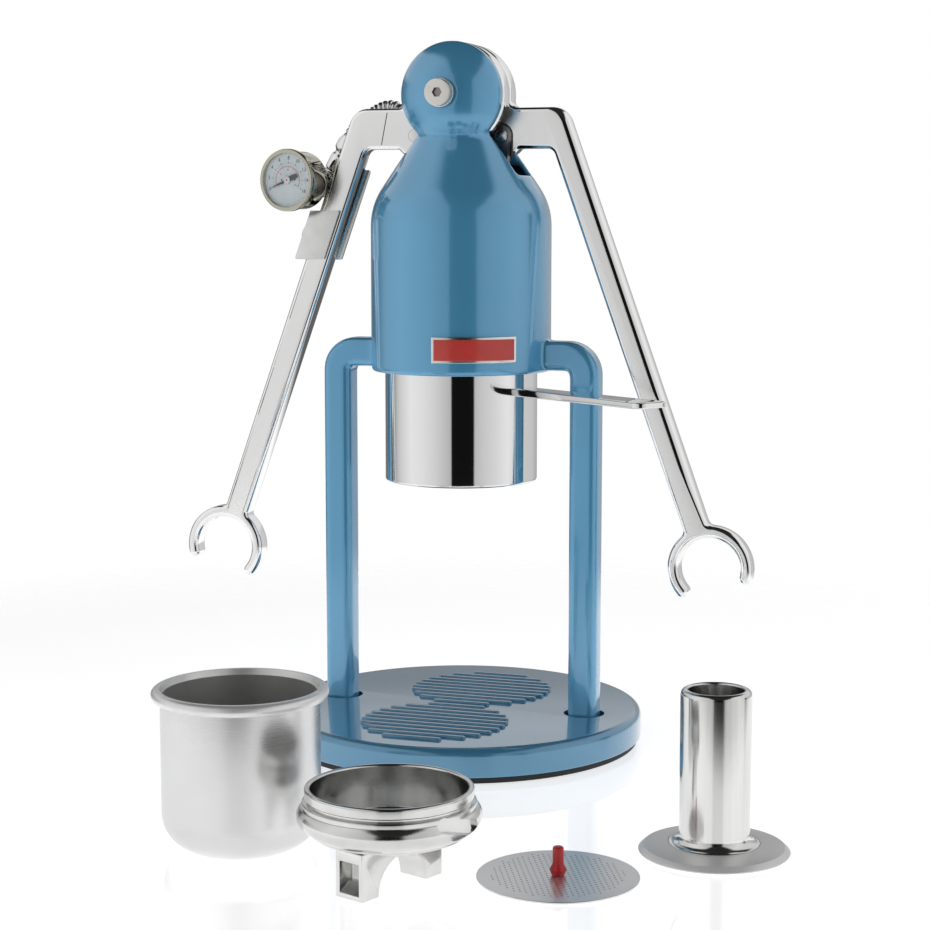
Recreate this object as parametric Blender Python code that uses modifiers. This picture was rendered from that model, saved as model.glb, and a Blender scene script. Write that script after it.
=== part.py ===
"""Manual lever espresso machine: one casting on two legs, two arms that press a piston, and its loose kit.

Metres, +Z up, -Y is the front, +X the machine's right hand arm in front view. The origin lies on the
underside of the rubber mat, under the machine's upright axis.
"""
import math

import bmesh
import bpy
from mathutils import Matrix, Vector

MM = 0.001
DEG = math.pi / 180

# General clearances and cutting sizes
GAP = 0.3 * MM
OVERRUN = 5 * MM
MERGE = 0.01 * MM

# Round base, its rubber mat and the ribs that carry the cups
BASE_RADIUS = 84.3 * MM
BASE_THICKNESS = 12.9 * MM
BASE_TOP_EDGE = 3.6 * MM
BASE_BOTTOM_EDGE = 1.0 * MM
MAT_THICKNESS = 2.4 * MM
MAT_INSET = 2.0 * MM
RIB_PITCH = 6.1 * MM
RIB_WIDTH = 3.5 * MM
RIB_HEIGHT = 1.1 * MM
RIB_CHAMFER = 0.7 * MM
RIB_PATCH_RADIUS = 33.5 * MM
RIB_PATCH_OFFSET = 34.0 * MM
RIB_PATCH_SHIFT = -3.5 * MM
RIB_SINK = 1.0 * MM
RIB_ERROR = 0.3 * MM
SOCKET_RADIUS = 9.4 * MM
SOCKET_DEPTH = 7.6 * MM
SCREW_RADIUS = 2.5 * MM
SCREW_HEAD_RADIUS = 4.4 * MM
SCREW_HEAD_HEIGHT = 2.8 * MM
SCREW_LENGTH = 14.0 * MM

# Legs: rounded square bars that leave the torso sideways and bend down
LEG_SPACING = 119.5 * MM
LEG_WIDTH = 13.5 * MM
LEG_CORNER = 3.3 * MM
LEG_BEND = 8.5 * MM
LEG_TOP = 186.9 * MM

# Torso: a hollow turned shell with a conical shoulder
TORSO_WALL = 2.8 * MM
TORSO_BOTTOM = 172.3 * MM
TORSO_EDGE = 1.7 * MM
SHOULDER_CORNER_DROP = 49.4 * MM
SHOULDER_ROUND = 30.0 * MM
SHOULDER_SLOPE_SHARE = 0.658
SHOULDER_WALL = 2.8 * MM
NECK_DROP = 9.0 * MM
CAVITY_DROP = 31.0 * MM
SLOT_HALF_WIDTH = 9.9 * MM
SLOT_DROP = 35.8 * MM

# Head: a domed front cheek and a smaller rear cheek that hold the axle
HEAD_HEIGHT = 297.0 * MM
HEAD_RADIUS = 23.6 * MM
FRONT_CHEEK_WALL = 5.6 * MM
FRONT_DOME = 11.6 * MM
REAR_CHEEK_RADIUS = 20.5 * MM
REAR_CHEEK_WALL = 9.2 * MM
REAR_CHEEK_EDGE = 3.0 * MM
AXLE_RADIUS = 5.0 * MM
NUT_SEAT_RADIUS = 7.0 * MM
WASHER_RADIUS = 6.4 * MM
WASHER_THICKNESS = 2.5 * MM
CAP_RADIUS = 6.0 * MM
CAP_THICKNESS = 3.1 * MM
CAP_EDGE = 0.4 * MM
HEX_SOCKET_RADIUS = 2.3 * MM
HEX_SOCKET_DEPTH = 2.0 * MM
REAR_NUT_RADIUS = 8.0 * MM
REAR_NUT_THICKNESS = 4.5 * MM
AXLE_TAIL = 0.8 * MM

# Arms: hub, shoulder bar, tilted forearm and an open ring for the hand
ARM_THICKNESS = 9.4 * MM
ARM_EDGE = 1.8 * MM
HUB_RADIUS = 23.6 * MM
HUB_FILLET = 3.2 * MM
SHOULDER_TOP = -5.5 * MM
SHOULDER_BOTTOM = -23.9 * MM
SHOULDER_OUTER_ROUND = 9.0 * MM
SHOULDER_INNER_ROUND = 4.0 * MM
ELBOW_REACH = 45.9 * MM
ARM_TILT = 19.9 * DEG
ARM_WIDTH = 11.7 * MM
FOREARM_LENGTH = 209.0 * MM
HAND_RADIUS = 19.3 * MM
HAND_BORE = 14.0 * MM
HAND_MOUTH_CENTRE = -75.5 * DEG
HAND_MOUTH_HALF = 54.0 * DEG
NECK_FILLET = 3.0 * MM
ARM_SWING = 100 * DEG

# Links between the arms and the piston
PIN_X = 19.0 * MM
PIN_DROP = 18.0 * MM
PIN_RADIUS = 3.0 * MM
LOBE_RADIUS = 10.0 * MM
LOBE_FILLET = 2.2 * MM
LINK_LENGTH = 54.0 * MM
LINK_EYE_RADIUS = 5.0 * MM
LINK_WAIST = 6.0 * MM
LINK_THICKNESS = 4.2 * MM
POCKET_CLEARANCE = 0.7 * MM
ARM_GAP = 0.15 * MM

# Piston rod with its clevis head, piston and seal
ROD_RADIUS = 8.0 * MM
CLEVIS_PLATE = 4.3 * MM
CLEVIS_HALF_SLOT = 4.95 * MM
CLEVIS_ROUND = 5.4 * MM
CLEVIS_FLOOR_DROP = 6.6 * MM
CLEVIS_WEB = 6.0 * MM
PISTON_BOTTOM = 137.0 * MM
PISTON_CLEARANCE = 2.1 * MM
PISTON_HEIGHT = 12.0 * MM
PISTON_EDGE = 1.2 * MM
PISTON_HUB_RADIUS = 12.0 * MM
PISTON_HUB_HEIGHT = 5.0 * MM
ROD_SOCKET_DEPTH = 9.0 * MM
SEAL_GROOVE_DEPTH = 2.6 * MM
SEAL_HEIGHT = 3.6 * MM
SEAL_RISE = 4.2 * MM
SEAL_CLEARANCE = 1.5 * MM

# Group ring, guide plate and bush inside the torso
GROUP_BOTTOM = 174.6 * MM
GROUP_HEIGHT = 24.0 * MM
GROUP_LIP_HEIGHT = 5.0 * MM
GROUP_GROOVE_HEIGHT = 5.0 * MM
GROUP_WALL = 2.9 * MM
GROUP_SEAT_STEP = 1.5 * MM
LUG_CLEARANCE = 0.4 * MM
GUIDE_THICKNESS = 4.0 * MM
BUSH_RADIUS = 11.5 * MM
BUSH_FLANGE_RADIUS = 15.0 * MM
BUSH_FLANGE_HEIGHT = 2.0 * MM
BUSH_HEIGHT = 10.0 * MM
VENT_RADIUS = 4.0 * MM
VENT_CIRCLE_RADIUS = 25.0 * MM
VENT_COUNT = 3

# Portafilter: polished tube with three lugs and a flat handle
PORTAFILTER_RADIUS = 35.0 * MM
PORTAFILTER_WALL = 3.7 * MM
PORTAFILTER_BOTTOM = 121.9 * MM
PORTAFILTER_EDGE = 1.0 * MM
LUG_COUNT = 3
LUG_REACH = 1.6 * MM
LUG_LENGTH = 12.0 * MM
LUG_FIRST = 90 * DEG
GATE_DEPTH = 4.8 * MM
GATE_WIDTH = 13.2 * MM
TWIST = 50 * DEG
HANDLE_THICKNESS = 2.2 * MM
HANDLE_TOP = 166.0 * MM
HANDLE_START_X = 28.0 * MM
HANDLE_START_Y = -6.3 * MM
HANDLE_DIRECTION = -35.5 * DEG
HANDLE_LENGTH = 96.0 * MM
HANDLE_ROOT_WIDTH = 10.0 * MM
HANDLE_END_WIDTH = 17.5 * MM
HANDLE_END_ROUND = 4.5 * MM

# Pressure gauge on the left arm
GAUGE_X = -76.4 * MM
GAUGE_Y = -22.0 * MM
GAUGE_DROP = 37.8 * MM
GAUGE_YAW = -9 * DEG
BEZEL_RADIUS = 13.1 * MM
BEZEL_FACE = 1.5 * MM
BEZEL_DEPTH = 3.2 * MM
BEZEL_LIP = 1.3 * MM
CASE_RADIUS = 12.6 * MM
CASE_DEPTH = 15.0 * MM
CASE_WALL = 1.3 * MM
CASE_TAPER = 3.6 * MM
CASE_TAIL_RADIUS = 7.0 * MM
DIAL_RADIUS = 11.0 * MM
DIAL_THICKNESS = 0.6 * MM
LENS_THICKNESS = 0.4 * MM
BEZEL_SEAT = 1.4 * MM
NEEDLE_GAP = 0.45 * MM
NEEDLE_THICKNESS = 0.4 * MM
NEEDLE_LENGTH = 7.8 * MM
NEEDLE_TAIL = 4.4 * MM
NEEDLE_TIP_WIDTH = 0.3 * MM
NEEDLE_TAIL_WIDTH = 1.9 * MM
NEEDLE_HUB_RADIUS = 1.4 * MM
NEEDLE_REST = -158 * DEG
BLOCK_RADIUS = 4.6 * MM
BLOCK_LENGTH = 11.5 * MM
BLOCK_CAP_RADIUS = 5.4 * MM
BLOCK_CAP_LENGTH = 2.4 * MM

# Sheet bracket that clips the gauge to the left arm
SHEET = 1.3 * MM
CLIP_TOP_DROP = 51.6 * MM
CLIP_BOTTOM_DROP = 74.0 * MM
CLIP_REAR_DROP = 35.0 * MM
CLIP_OUTSIDE = 4.2 * MM
CLIP_INSIDE = 2.0 * MM
CLIP_FRONT_SHORT = 2.2 * MM
CLIP_MARGIN = 0.4 * MM
EAR_DROP = 44.5 * MM
EAR_REACH = 7.6 * MM
CLIP_SCREW_RADIUS = 2.4 * MM
CLIP_SCREW_HEAD_RADIUS = 3.8 * MM
CLIP_SCREW_HEAD = 1.6 * MM
CLIP_SCREW_DROP = 63.0 * MM

# Pressure hose: ribbed metal, from the gauge block over the shoulder down to the piston rod;
# its route is given from the arms' axis
HOSE_RADIUS = 4.1 * MM
HOSE_RIB_DEPTH = 0.45 * MM
HOSE_BORE = 2.2 * MM
HOSE_RIB_PITCH = 1.7 * MM
ROUTE_SAMPLES = 24
HOSE_ROUTE = (
    (-60.3 * MM, 5.0 * MM, -18.5 * MM),
    (-56.6 * MM, 5.0 * MM, -11.7 * MM),
    (-50.2 * MM, 5.0 * MM, -6.3 * MM),
    (-42.5 * MM, 5.0 * MM, -4.4 * MM),
    (-35.4 * MM, 5.0 * MM, -7.0 * MM),
    (-30.6 * MM, 5.0 * MM, -14.0 * MM),
    (-27.3 * MM, 5.0 * MM, -22.5 * MM),
    (-22.6 * MM, 5.0 * MM, -31.5 * MM),
    (-16.4 * MM, 5.0 * MM, -40.0 * MM),
    (-12.4 * MM, 5.0 * MM, -48.0 * MM),
    (-12.0 * MM, 5.0 * MM, -55.5 * MM),
    (-12.0 * MM, 5.0 * MM, -62.5 * MM),
)
FERRULE_RADIUS = 5.2 * MM
FERRULE_WAIST = 3.4 * MM
FERRULE_LENGTH = 15.5 * MM
FERRULE_HEAD = 5.4 * MM
FERRULE_MIDDLE = 8.5 * MM
FERRULE_FOOT = 12.4 * MM
FERRULE_ROUND = 2.0 * MM
TAIL_RADIUS = 4.2 * MM

# Bare badge bent round the front of the torso
BADGE_THICKNESS = 0.9 * MM
BADGE_BOTTOM = 178.5 * MM
BADGE_HEIGHT = 11.6 * MM
BADGE_START = -89.7 * DEG
BADGE_SWEEP = 54 * DEG

# Loose kit on the floor in front of the machine
BASKET_X = -26.4 * MM
BASKET_Y = -187.3 * MM
BASKET_RADIUS = 30.9 * MM
BASKET_WALL = 1.2 * MM
BASKET_HEIGHT = 63.4 * MM
BASKET_BOTTOM_ROUND = 15.0 * MM
BASKET_RIM = 34.3 * MM
BASKET_RIM_ROUND = 2.1 * MM
SCREEN_X = 103.3 * MM
SCREEN_Y = -185.6 * MM
SCREEN_RADIUS = 29.7 * MM
SCREEN_THICKNESS = 1.0 * MM
GRIP_RADIUS = 2.7 * MM
GRIP_COLLAR_RADIUS = 4.0 * MM
GRIP_HEIGHT = 12.6 * MM
GRIP_COLLAR_HEIGHT = 2.4 * MM
GRIP_FLARE_HEIGHT = 4.3 * MM
GRIP_FOOT_RADIUS = 3.2 * MM
GRIP_EDGE = 0.9 * MM
SPOUT_X = 44.8 * MM
SPOUT_Y = -213.0 * MM
SPOUT_TURN = 69 * DEG
SPOUT_RIM_RADIUS = 31.1 * MM
SPOUT_BOWL_RADIUS = 34.1 * MM
SPOUT_WALL = 2.2 * MM
SPOUT_TOP = 37.5 * MM
SPOUT_BELLY = 24.5 * MM
SPOUT_SHOULDER = 30.4 * MM
SPOUT_FLOOR = 15.5 * MM
SPOUT_GROOVE = 0.9 * MM
SPOUT_BEAD = 1.8 * MM
SPOUT_PAN_THICKNESS = 4.4 * MM
SPOUT_LEG_REACH = 22.0 * MM
SPOUT_LEG_WIDTH = 13.0 * MM
SPOUT_LEG_WALL = 1.8 * MM
SPOUT_LEG_FOOT = 9.0 * MM
SPOUT_ARCH_RADIUS = 13.0 * MM
TAMPER_X = 149.2 * MM
TAMPER_Y = -135.3 * MM
TAMPER_RADIUS = 29.4 * MM
TAMPER_EDGE_HEIGHT = 2.6 * MM
TAMPER_DISC_HEIGHT = 5.6 * MM
TAMPER_BEVEL = 2.0 * MM
TAMPER_TUBE_RADIUS = 13.7 * MM
TAMPER_TUBE_WALL = 2.2 * MM
TAMPER_TUBE_EDGE = 1.4 * MM
TAMPER_HEIGHT = 64.0 * MM
TAMPER_FILLET = 2.5 * MM
TAMPER_SPIGOT_HEIGHT = 2.0 * MM

# Facets on round pieces
FINE_STEPS = 48
ROUND_STEPS = 28
CHEEK_STEPS = 38
GAUGE_STEPS = 26
SMALL_STEPS = 20
TINY_STEPS = 12
HEX_SIDES = 6
CHORD_ERROR = 0.2 * MM
WIDEST_STEP = 60 * DEG
SHARP_ANGLE = 30 * DEG
SOFTEN_ANGLE = 75 * DEG
FLAT_ANGLE = 0.5 * DEG

# Heights and places that follow from the sizes above
BASE_BOTTOM = MAT_THICKNESS + GAP
BASE_TOP = BASE_BOTTOM + BASE_THICKNESS
FOOT = BASE_TOP - SOCKET_DEPTH + GAP
LEG_X = LEG_SPACING / 2
LEG_AXIS_HEIGHT = LEG_TOP - LEG_WIDTH / 2
PORTAFILTER_BORE = PORTAFILTER_RADIUS - PORTAFILTER_WALL
GROUP_RADIUS = PORTAFILTER_RADIUS + GAP + GROUP_WALL
GROUP_GROOVE_RADIUS = PORTAFILTER_RADIUS + LUG_REACH + LUG_CLEARANCE
GROUP_TOP_BORE = PORTAFILTER_BORE + GROUP_SEAT_STEP
PISTON_RADIUS = PORTAFILTER_BORE - PISTON_CLEARANCE
SEAL_RADIUS = PORTAFILTER_BORE - SEAL_CLEARANCE
SEAL_GROOVE_RADIUS = PISTON_RADIUS - SEAL_GROOVE_DEPTH
CAVITY_RADIUS = GROUP_RADIUS + GAP
TORSO_RADIUS = CAVITY_RADIUS + TORSO_WALL
SHOULDER_CORNER = HEAD_HEIGHT - SHOULDER_CORNER_DROP
NECK_TOP = HEAD_HEIGHT - NECK_DROP
CAVITY_TOP = HEAD_HEIGHT - CAVITY_DROP
SLOT_FLOOR = HEAD_HEIGHT - SLOT_DROP
GAUGE_Z = HEAD_HEIGHT - GAUGE_DROP
CLIP_TOP = HEAD_HEIGHT - CLIP_TOP_DROP
CLIP_BOTTOM = HEAD_HEIGHT - CLIP_BOTTOM_DROP
CLIP_REAR_TOP = HEAD_HEIGHT - CLIP_REAR_DROP
EAR_BOTTOM = HEAD_HEIGHT - EAR_DROP
CLIP_SCREW_HEIGHT = HEAD_HEIGHT - CLIP_SCREW_DROP
ARM_CENTRE_Y = ARM_GAP + ARM_THICKNESS / 2
HUB_BOTTOM = -HUB_RADIUS
ELBOW_Z = (SHOULDER_TOP + SHOULDER_BOTTOM) / 2
ARM_AXIS = Vector((math.sin(ARM_TILT), -math.cos(ARM_TILT)))
ARM_SIDE = Vector((math.cos(ARM_TILT), math.sin(ARM_TILT)))
ELBOW = Vector((ELBOW_REACH, ELBOW_Z))
HAND = ELBOW + ARM_AXIS * FOREARM_LENGTH
LINK_CENTRE_Y = ARM_GAP + LINK_THICKNESS / 2
LINK_TOP = HEAD_HEIGHT - PIN_DROP
CLEVIS_HEIGHT = LINK_TOP - LINK_LENGTH
CLEVIS_BOTTOM = CLEVIS_HEIGHT - CLEVIS_FLOOR_DROP - CLEVIS_WEB
CHEEK_FRONT = -SLOT_HALF_WIDTH - FRONT_CHEEK_WALL
DOME_FRONT = CHEEK_FRONT - FRONT_DOME
CHEEK_REAR = SLOT_HALF_WIDTH + REAR_CHEEK_WALL
GUIDE_BOTTOM = GROUP_BOTTOM + GROUP_HEIGHT + GAP
PISTON_TOP = PISTON_BOTTOM + PISTON_HEIGHT

COLOURS = {
    "paint": ((0.10, 0.27, 0.42), 0.18, 0.0),
    "chrome": ((0.80, 0.80, 0.80), 0.06, 1.0),
    "steel": ((0.62, 0.62, 0.61), 0.28, 1.0),
    "brass": ((0.75, 0.55, 0.25), 0.3, 1.0),
    "rubber": ((0.02, 0.02, 0.02), 0.7, 0.0),
    "silicone": ((0.60, 0.02, 0.02), 0.45, 0.0),
    "enamel": ((0.55, 0.06, 0.06), 0.2, 0.0),
    "dial": ((0.78, 0.85, 0.90), 0.5, 0.0),
    "needle": ((0.12, 0.13, 0.14), 0.4, 0.2),
    "glass": ((0.90, 0.95, 0.97), 0.05, 0.0),
}


def clear_scene():
    """Removes every object, and makes the two collections."""
    for thing in list(bpy.data.objects):
        bpy.data.objects.remove(thing, do_unlink=True)
    made = []
    for name in ("lever_espresso_machine", "cutters"):
        group = bpy.data.collections.new(name)
        bpy.context.scene.collection.children.link(group)
        made.append(group)
    return made


def finish_material(name):
    """The Principled material of one finish, made once."""
    known = bpy.data.materials.get(name)
    if known:
        return known
    colour, roughness, metallic = COLOURS[name]
    made = bpy.data.materials.new(name)
    made.use_nodes = True
    shader = made.node_tree.nodes["Principled BSDF"]
    shader.inputs["Base Color"].default_value = (*colour, 1.0)
    shader.inputs["Roughness"].default_value = roughness
    shader.inputs["Metallic"].default_value = metallic
    made.diffuse_color = (*colour, 1.0)
    return made


def add_object(name, data, finish, place=(0, 0, 0), turn=(0, 0, 0)):
    """Puts mesh or curve data into the part's collection."""
    made = bpy.data.objects.new(name, data)
    made.location = place
    made.rotation_euler = turn
    PART.objects.link(made)
    if finish:
        made.data.materials.append(finish_material(finish))
    return made


def as_cutter(thing):
    """Moves an object to the cutters, which the part leaves out."""
    for group in list(thing.users_collection):
        group.objects.unlink(thing)
    CUTTERS.objects.link(thing)
    thing.hide_render = True
    thing.display_type = "WIRE"
    return thing


def boolean(target, other, operation):
    """Adds an exact Boolean of target with other, which becomes a cutter."""
    as_cutter(other)
    step = target.modifiers.new(operation.lower(), "BOOLEAN")
    step.operation = operation
    step.solver = "EXACT"
    step.object = other
    return target


def cut(target, *others):
    for other in others:
        boolean(target, other, "DIFFERENCE")
    return target


def join(target, *others):
    for other in others:
        boolean(target, other, "UNION")
    return target


def smooth(thing):
    """Shades a mesh smooth with sharp edges kept."""
    thing.data.shade_smooth()
    thing.data.set_sharp_from_angle(angle=SHARP_ANGLE)
    return thing


def soften(thing, width, segments):
    """Rounds the sharp edges of a mesh."""
    step = thing.modifiers.new("soften", "BEVEL")
    step.width = width
    step.segments = segments
    step.limit_method = "ANGLE"
    step.angle_limit = SOFTEN_ANGLE
    step.harden_normals = False
    return thing


def arc(centre, radius, start, end, error=CHORD_ERROR):
    """Points of an arc in the outline plane, both ends included, within the chord error of its circle."""
    step = min(WIDEST_STEP, 2 * math.acos(1 - min(1, error / radius)))
    count = max(1, math.ceil(abs(end - start) / step - MERGE))
    points = []
    for index in range(count + 1):
        angle = start + (end - start) * index / count
        points.append((centre[0] + radius * math.cos(angle), centre[1] + radius * math.sin(angle)))
    return points


def rounded(corners, closed=True, error=CHORD_ERROR):
    """An outline whose corners (x, z, radius) are rounded by tangent arcs."""
    points = []
    count = len(corners)
    for index, (x, z, radius) in enumerate(corners):
        here = Vector((x, z))
        inner = closed or 0 < index < count - 1
        if not radius or not inner:
            points.append((x, z))
            continue
        before = (Vector(corners[index - 1][:2]) - here).normalized()
        after = (Vector(corners[(index + 1) % count][:2]) - here).normalized()
        half = before.angle(after) / 2
        centre = here + (before + after).normalized() * (radius / math.sin(half))
        reach = radius / math.tan(half)
        first, last = here + before * reach - centre, here + after * reach - centre
        start = math.atan2(first.y, first.x)
        sweep = math.atan2(last.y, last.x) - start
        sweep = (sweep + math.pi) % (2 * math.pi) - math.pi
        points += arc(centre, radius, start, start + sweep, error)
    return points


def solid_curve(name, outlines, thickness):
    """Curve data of a flat plate from closed outlines, the first outside and the others holes."""
    data = bpy.data.curves.new(name, "CURVE")
    data.dimensions = "2D"
    data.fill_mode = "BOTH"
    data.extrude = thickness / 2
    for outline in outlines:
        line = data.splines.new("POLY")
        line.points.add(len(outline) - 1)
        for point, (x, y) in zip(line.points, outline):
            point.co = (x, y, 0, 1)
        line.use_cyclic_u = True
    return data


def curve_to_mesh(name, data, finish, place, turn, flat=False):
    """Turns curve data into a welded mesh object at the same place, its flat faces made whole."""
    source = add_object(name + "_curve", data, None, place, turn)
    bpy.context.view_layer.update()
    graph = bpy.context.evaluated_depsgraph_get()
    mesh = bpy.data.meshes.new_from_object(source.evaluated_get(graph))
    world = source.matrix_world.copy()
    bpy.data.objects.remove(source, do_unlink=True)
    work = bmesh.new()
    work.from_mesh(mesh)
    bmesh.ops.remove_doubles(work, verts=work.verts, dist=MERGE)
    if flat:
        bmesh.ops.dissolve_limit(work, angle_limit=FLAT_ANGLE, verts=work.verts, edges=work.edges)
    bmesh.ops.recalc_face_normals(work, faces=work.faces)
    work.to_mesh(mesh)
    work.free()
    mesh.name = name
    made = add_object(name, mesh, finish)
    made.matrix_world = world
    return smooth(made)


def plate(name, outlines, thickness, finish, place=(0, 0, 0), upright=True, yaw=0):
    """A plate whose outline lies in XZ, facing the front, or in XY when it isn't upright."""
    turn = (math.pi / 2 if upright else 0, 0, yaw)
    return curve_to_mesh(name, solid_curve(name, outlines, thickness), finish, place, turn, len(outlines) == 1)


def turned(name, profile, steps, finish, place=(0, 0, 0), turn=(0, 0, 0), ring=False):
    """A turned solid: the profile (radius, height) runs top to bottom on its outer side."""
    mesh = bpy.data.meshes.new(name)
    count = len(profile)
    edges = [(index, index + 1) for index in range(count - 1)]
    if ring:
        edges.append((count - 1, 0))
    mesh.from_pydata([(radius, 0, height) for radius, height in profile], edges, [])
    made = add_object(name, mesh, finish, place, turn)
    screw = made.modifiers.new("turned", "SCREW")
    screw.angle = 2 * math.pi
    screw.steps = steps
    screw.render_steps = steps
    screw.use_merge_vertices = True
    screw.merge_threshold = MERGE
    screw.use_smooth_shade = True
    return made


FRONT_FACING = (math.pi / 2, 0, 0)


def disc(name, radius, low, high, steps, finish=None, place=(0, 0, 0), turn=(0, 0, 0), edges=(0, 0)):
    """A cylinder between two heights along its own axis, its lower and upper edges rounded."""
    mesh = bpy.data.meshes.new(name)
    work = bmesh.new()
    bmesh.ops.create_cone(
        work,
        cap_ends=True,
        segments=steps,
        radius1=radius,
        radius2=radius,
        depth=high - low,
        matrix=Matrix.Translation((0, 0, (high + low) / 2)),
    )
    middle = (high + low) / 2
    for edge, sign in zip(edges, (-1, 1)):
        if edge:
            rim = [line for line in work.edges if all((v.co.z - middle) * sign > 0 for v in line.verts)]
            segments = max(1, math.ceil(math.pi / 2 / (2 * math.acos(1 - CHORD_ERROR / edge))))
            bmesh.ops.bevel(work, geom=rim, offset=edge, segments=segments, profile=0.5, affect="EDGES")
    work.to_mesh(mesh)
    work.free()
    return smooth(add_object(name, mesh, finish, place, turn))


def box(name, size, centre, turn=(0, 0, 0), finish=None):
    """A block of the given size with its scale applied."""
    mesh = bpy.data.meshes.new(name)
    work = bmesh.new()
    bmesh.ops.create_cube(work, size=1)
    bmesh.ops.scale(work, vec=size, verts=work.verts)
    work.to_mesh(mesh)
    work.free()
    return add_object(name, mesh, finish, centre, turn)


def tube(radius, bore, low, high, edge=0):
    """Profile of a plain ring, with its outer lower edge rounded."""
    lower = rounded([(radius, high, 0), (radius, low, edge), (bore, low, 0)], closed=False)
    return lower + [(bore, high)]


def carrier(name, place):
    """An empty on a joint's axis, which carries the pieces that move about it."""
    made = bpy.data.objects.new(name, None)
    made.location = place
    PART.objects.link(made)
    return made


def carry(parent, *pieces):
    """Parents pieces to a carrier where they stand."""
    bpy.context.view_layer.update()
    for piece in pieces:
        world = piece.matrix_world.copy()
        piece.parent = parent
        piece.matrix_parent_inverse = parent.matrix_world.inverted()
        piece.matrix_world = world


def make_base():
    """Round foot plate with leg sockets and two round patches of ribs, its mat and the leg screws."""
    edges = (BASE_BOTTOM_EDGE, BASE_TOP_EDGE)
    base = disc("base", BASE_RADIUS, BASE_BOTTOM, BASE_TOP, FINE_STEPS, "paint", edges=edges)
    join(base, make_ribs())
    socket_floor = BASE_TOP - SOCKET_DEPTH
    seat_top = BASE_BOTTOM + SCREW_HEAD_HEIGHT + GAP
    stepped = [
        (0, BASE_TOP + OVERRUN),
        (SOCKET_RADIUS, BASE_TOP + OVERRUN),
        (SOCKET_RADIUS, socket_floor),
        (SCREW_RADIUS + GAP, socket_floor),
        (SCREW_RADIUS + GAP, seat_top),
        (SCREW_HEAD_RADIUS + GAP, seat_top),
        (SCREW_HEAD_RADIUS + GAP, BASE_BOTTOM - OVERRUN),
        (0, BASE_BOTTOM - OVERRUN),
    ]
    for side in (-1, 1):
        cut(base, turned("leg_socket", stepped, SMALL_STEPS, None, (side * LEG_X, 0, 0)))
    disc("base_mat", BASE_RADIUS - MAT_INSET, 0, MAT_THICKNESS, FINE_STEPS, "rubber")
    leg_screw("base_screw_left", -LEG_X)
    leg_screw("base_screw_right", LEG_X)


def leg_screw(name, x):
    """A flat-headed screw up through the base into a leg's foot."""
    head_top = BASE_BOTTOM + SCREW_HEAD_HEIGHT
    profile = [
        (0, BASE_BOTTOM + SCREW_LENGTH),
        (SCREW_RADIUS, BASE_BOTTOM + SCREW_LENGTH),
        (SCREW_RADIUS, head_top),
        (SCREW_HEAD_RADIUS, head_top),
        (SCREW_HEAD_RADIUS, BASE_BOTTOM + GAP),
        (0, BASE_BOTTOM + GAP),
    ]
    return turned(name, profile, TINY_STEPS, "steel", (x, 0, 0))


def make_ribs():
    """The raised ribs of both round patches: long bars with round ends and chamfered sides."""
    half = RIB_WIDTH / 2
    rows = int(RIB_PATCH_RADIUS / RIB_PITCH)
    outlines = []
    for side in (-1, 1):
        for row in range(-rows, rows + 1):
            offset = row * RIB_PITCH
            y = RIB_PATCH_SHIFT + side * RIB_PATCH_OFFSET + offset
            reach = math.sqrt(RIB_PATCH_RADIUS**2 - offset**2) - half
            right = arc((reach, y), half, -math.pi / 2, math.pi / 2, RIB_ERROR)
            left = arc((-reach, y), half, math.pi / 2, 1.5 * math.pi, RIB_ERROR)
            outlines.append(right + left)
    thickness = RIB_HEIGHT + RIB_SINK
    data = solid_curve("ribs", outlines, thickness - 2 * RIB_CHAMFER)
    data.bevel_depth = RIB_CHAMFER
    data.bevel_resolution = 0
    data.offset = -RIB_CHAMFER
    middle = BASE_TOP + RIB_HEIGHT - thickness / 2
    return curve_to_mesh("ribs", data, None, (0, 0, middle), (0, 0, 0), True)


def torso_profile():
    """Closed profile of the hollow torso, outside from the top down and inside back up."""
    slope = SHOULDER_SLOPE_SHARE
    top_radius = TORSO_RADIUS - slope * (NECK_TOP - SHOULDER_CORNER)
    cavity_top_radius = TORSO_RADIUS - slope * (CAVITY_TOP - SHOULDER_CORNER) - SHOULDER_WALL
    inner_corner = SHOULDER_CORNER - (SHOULDER_WALL - TORSO_WALL) / slope
    corners = [
        (0, NECK_TOP, 0),
        (top_radius, NECK_TOP, 0),
        (TORSO_RADIUS, SHOULDER_CORNER, SHOULDER_ROUND),
        (TORSO_RADIUS, TORSO_BOTTOM, TORSO_EDGE),
        (CAVITY_RADIUS, TORSO_BOTTOM, 0),
        (CAVITY_RADIUS, inner_corner, SHOULDER_ROUND - SHOULDER_WALL),
        (cavity_top_radius, CAVITY_TOP, 0),
        (0, CAVITY_TOP, 0),
    ]
    return rounded(corners, closed=False)


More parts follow.
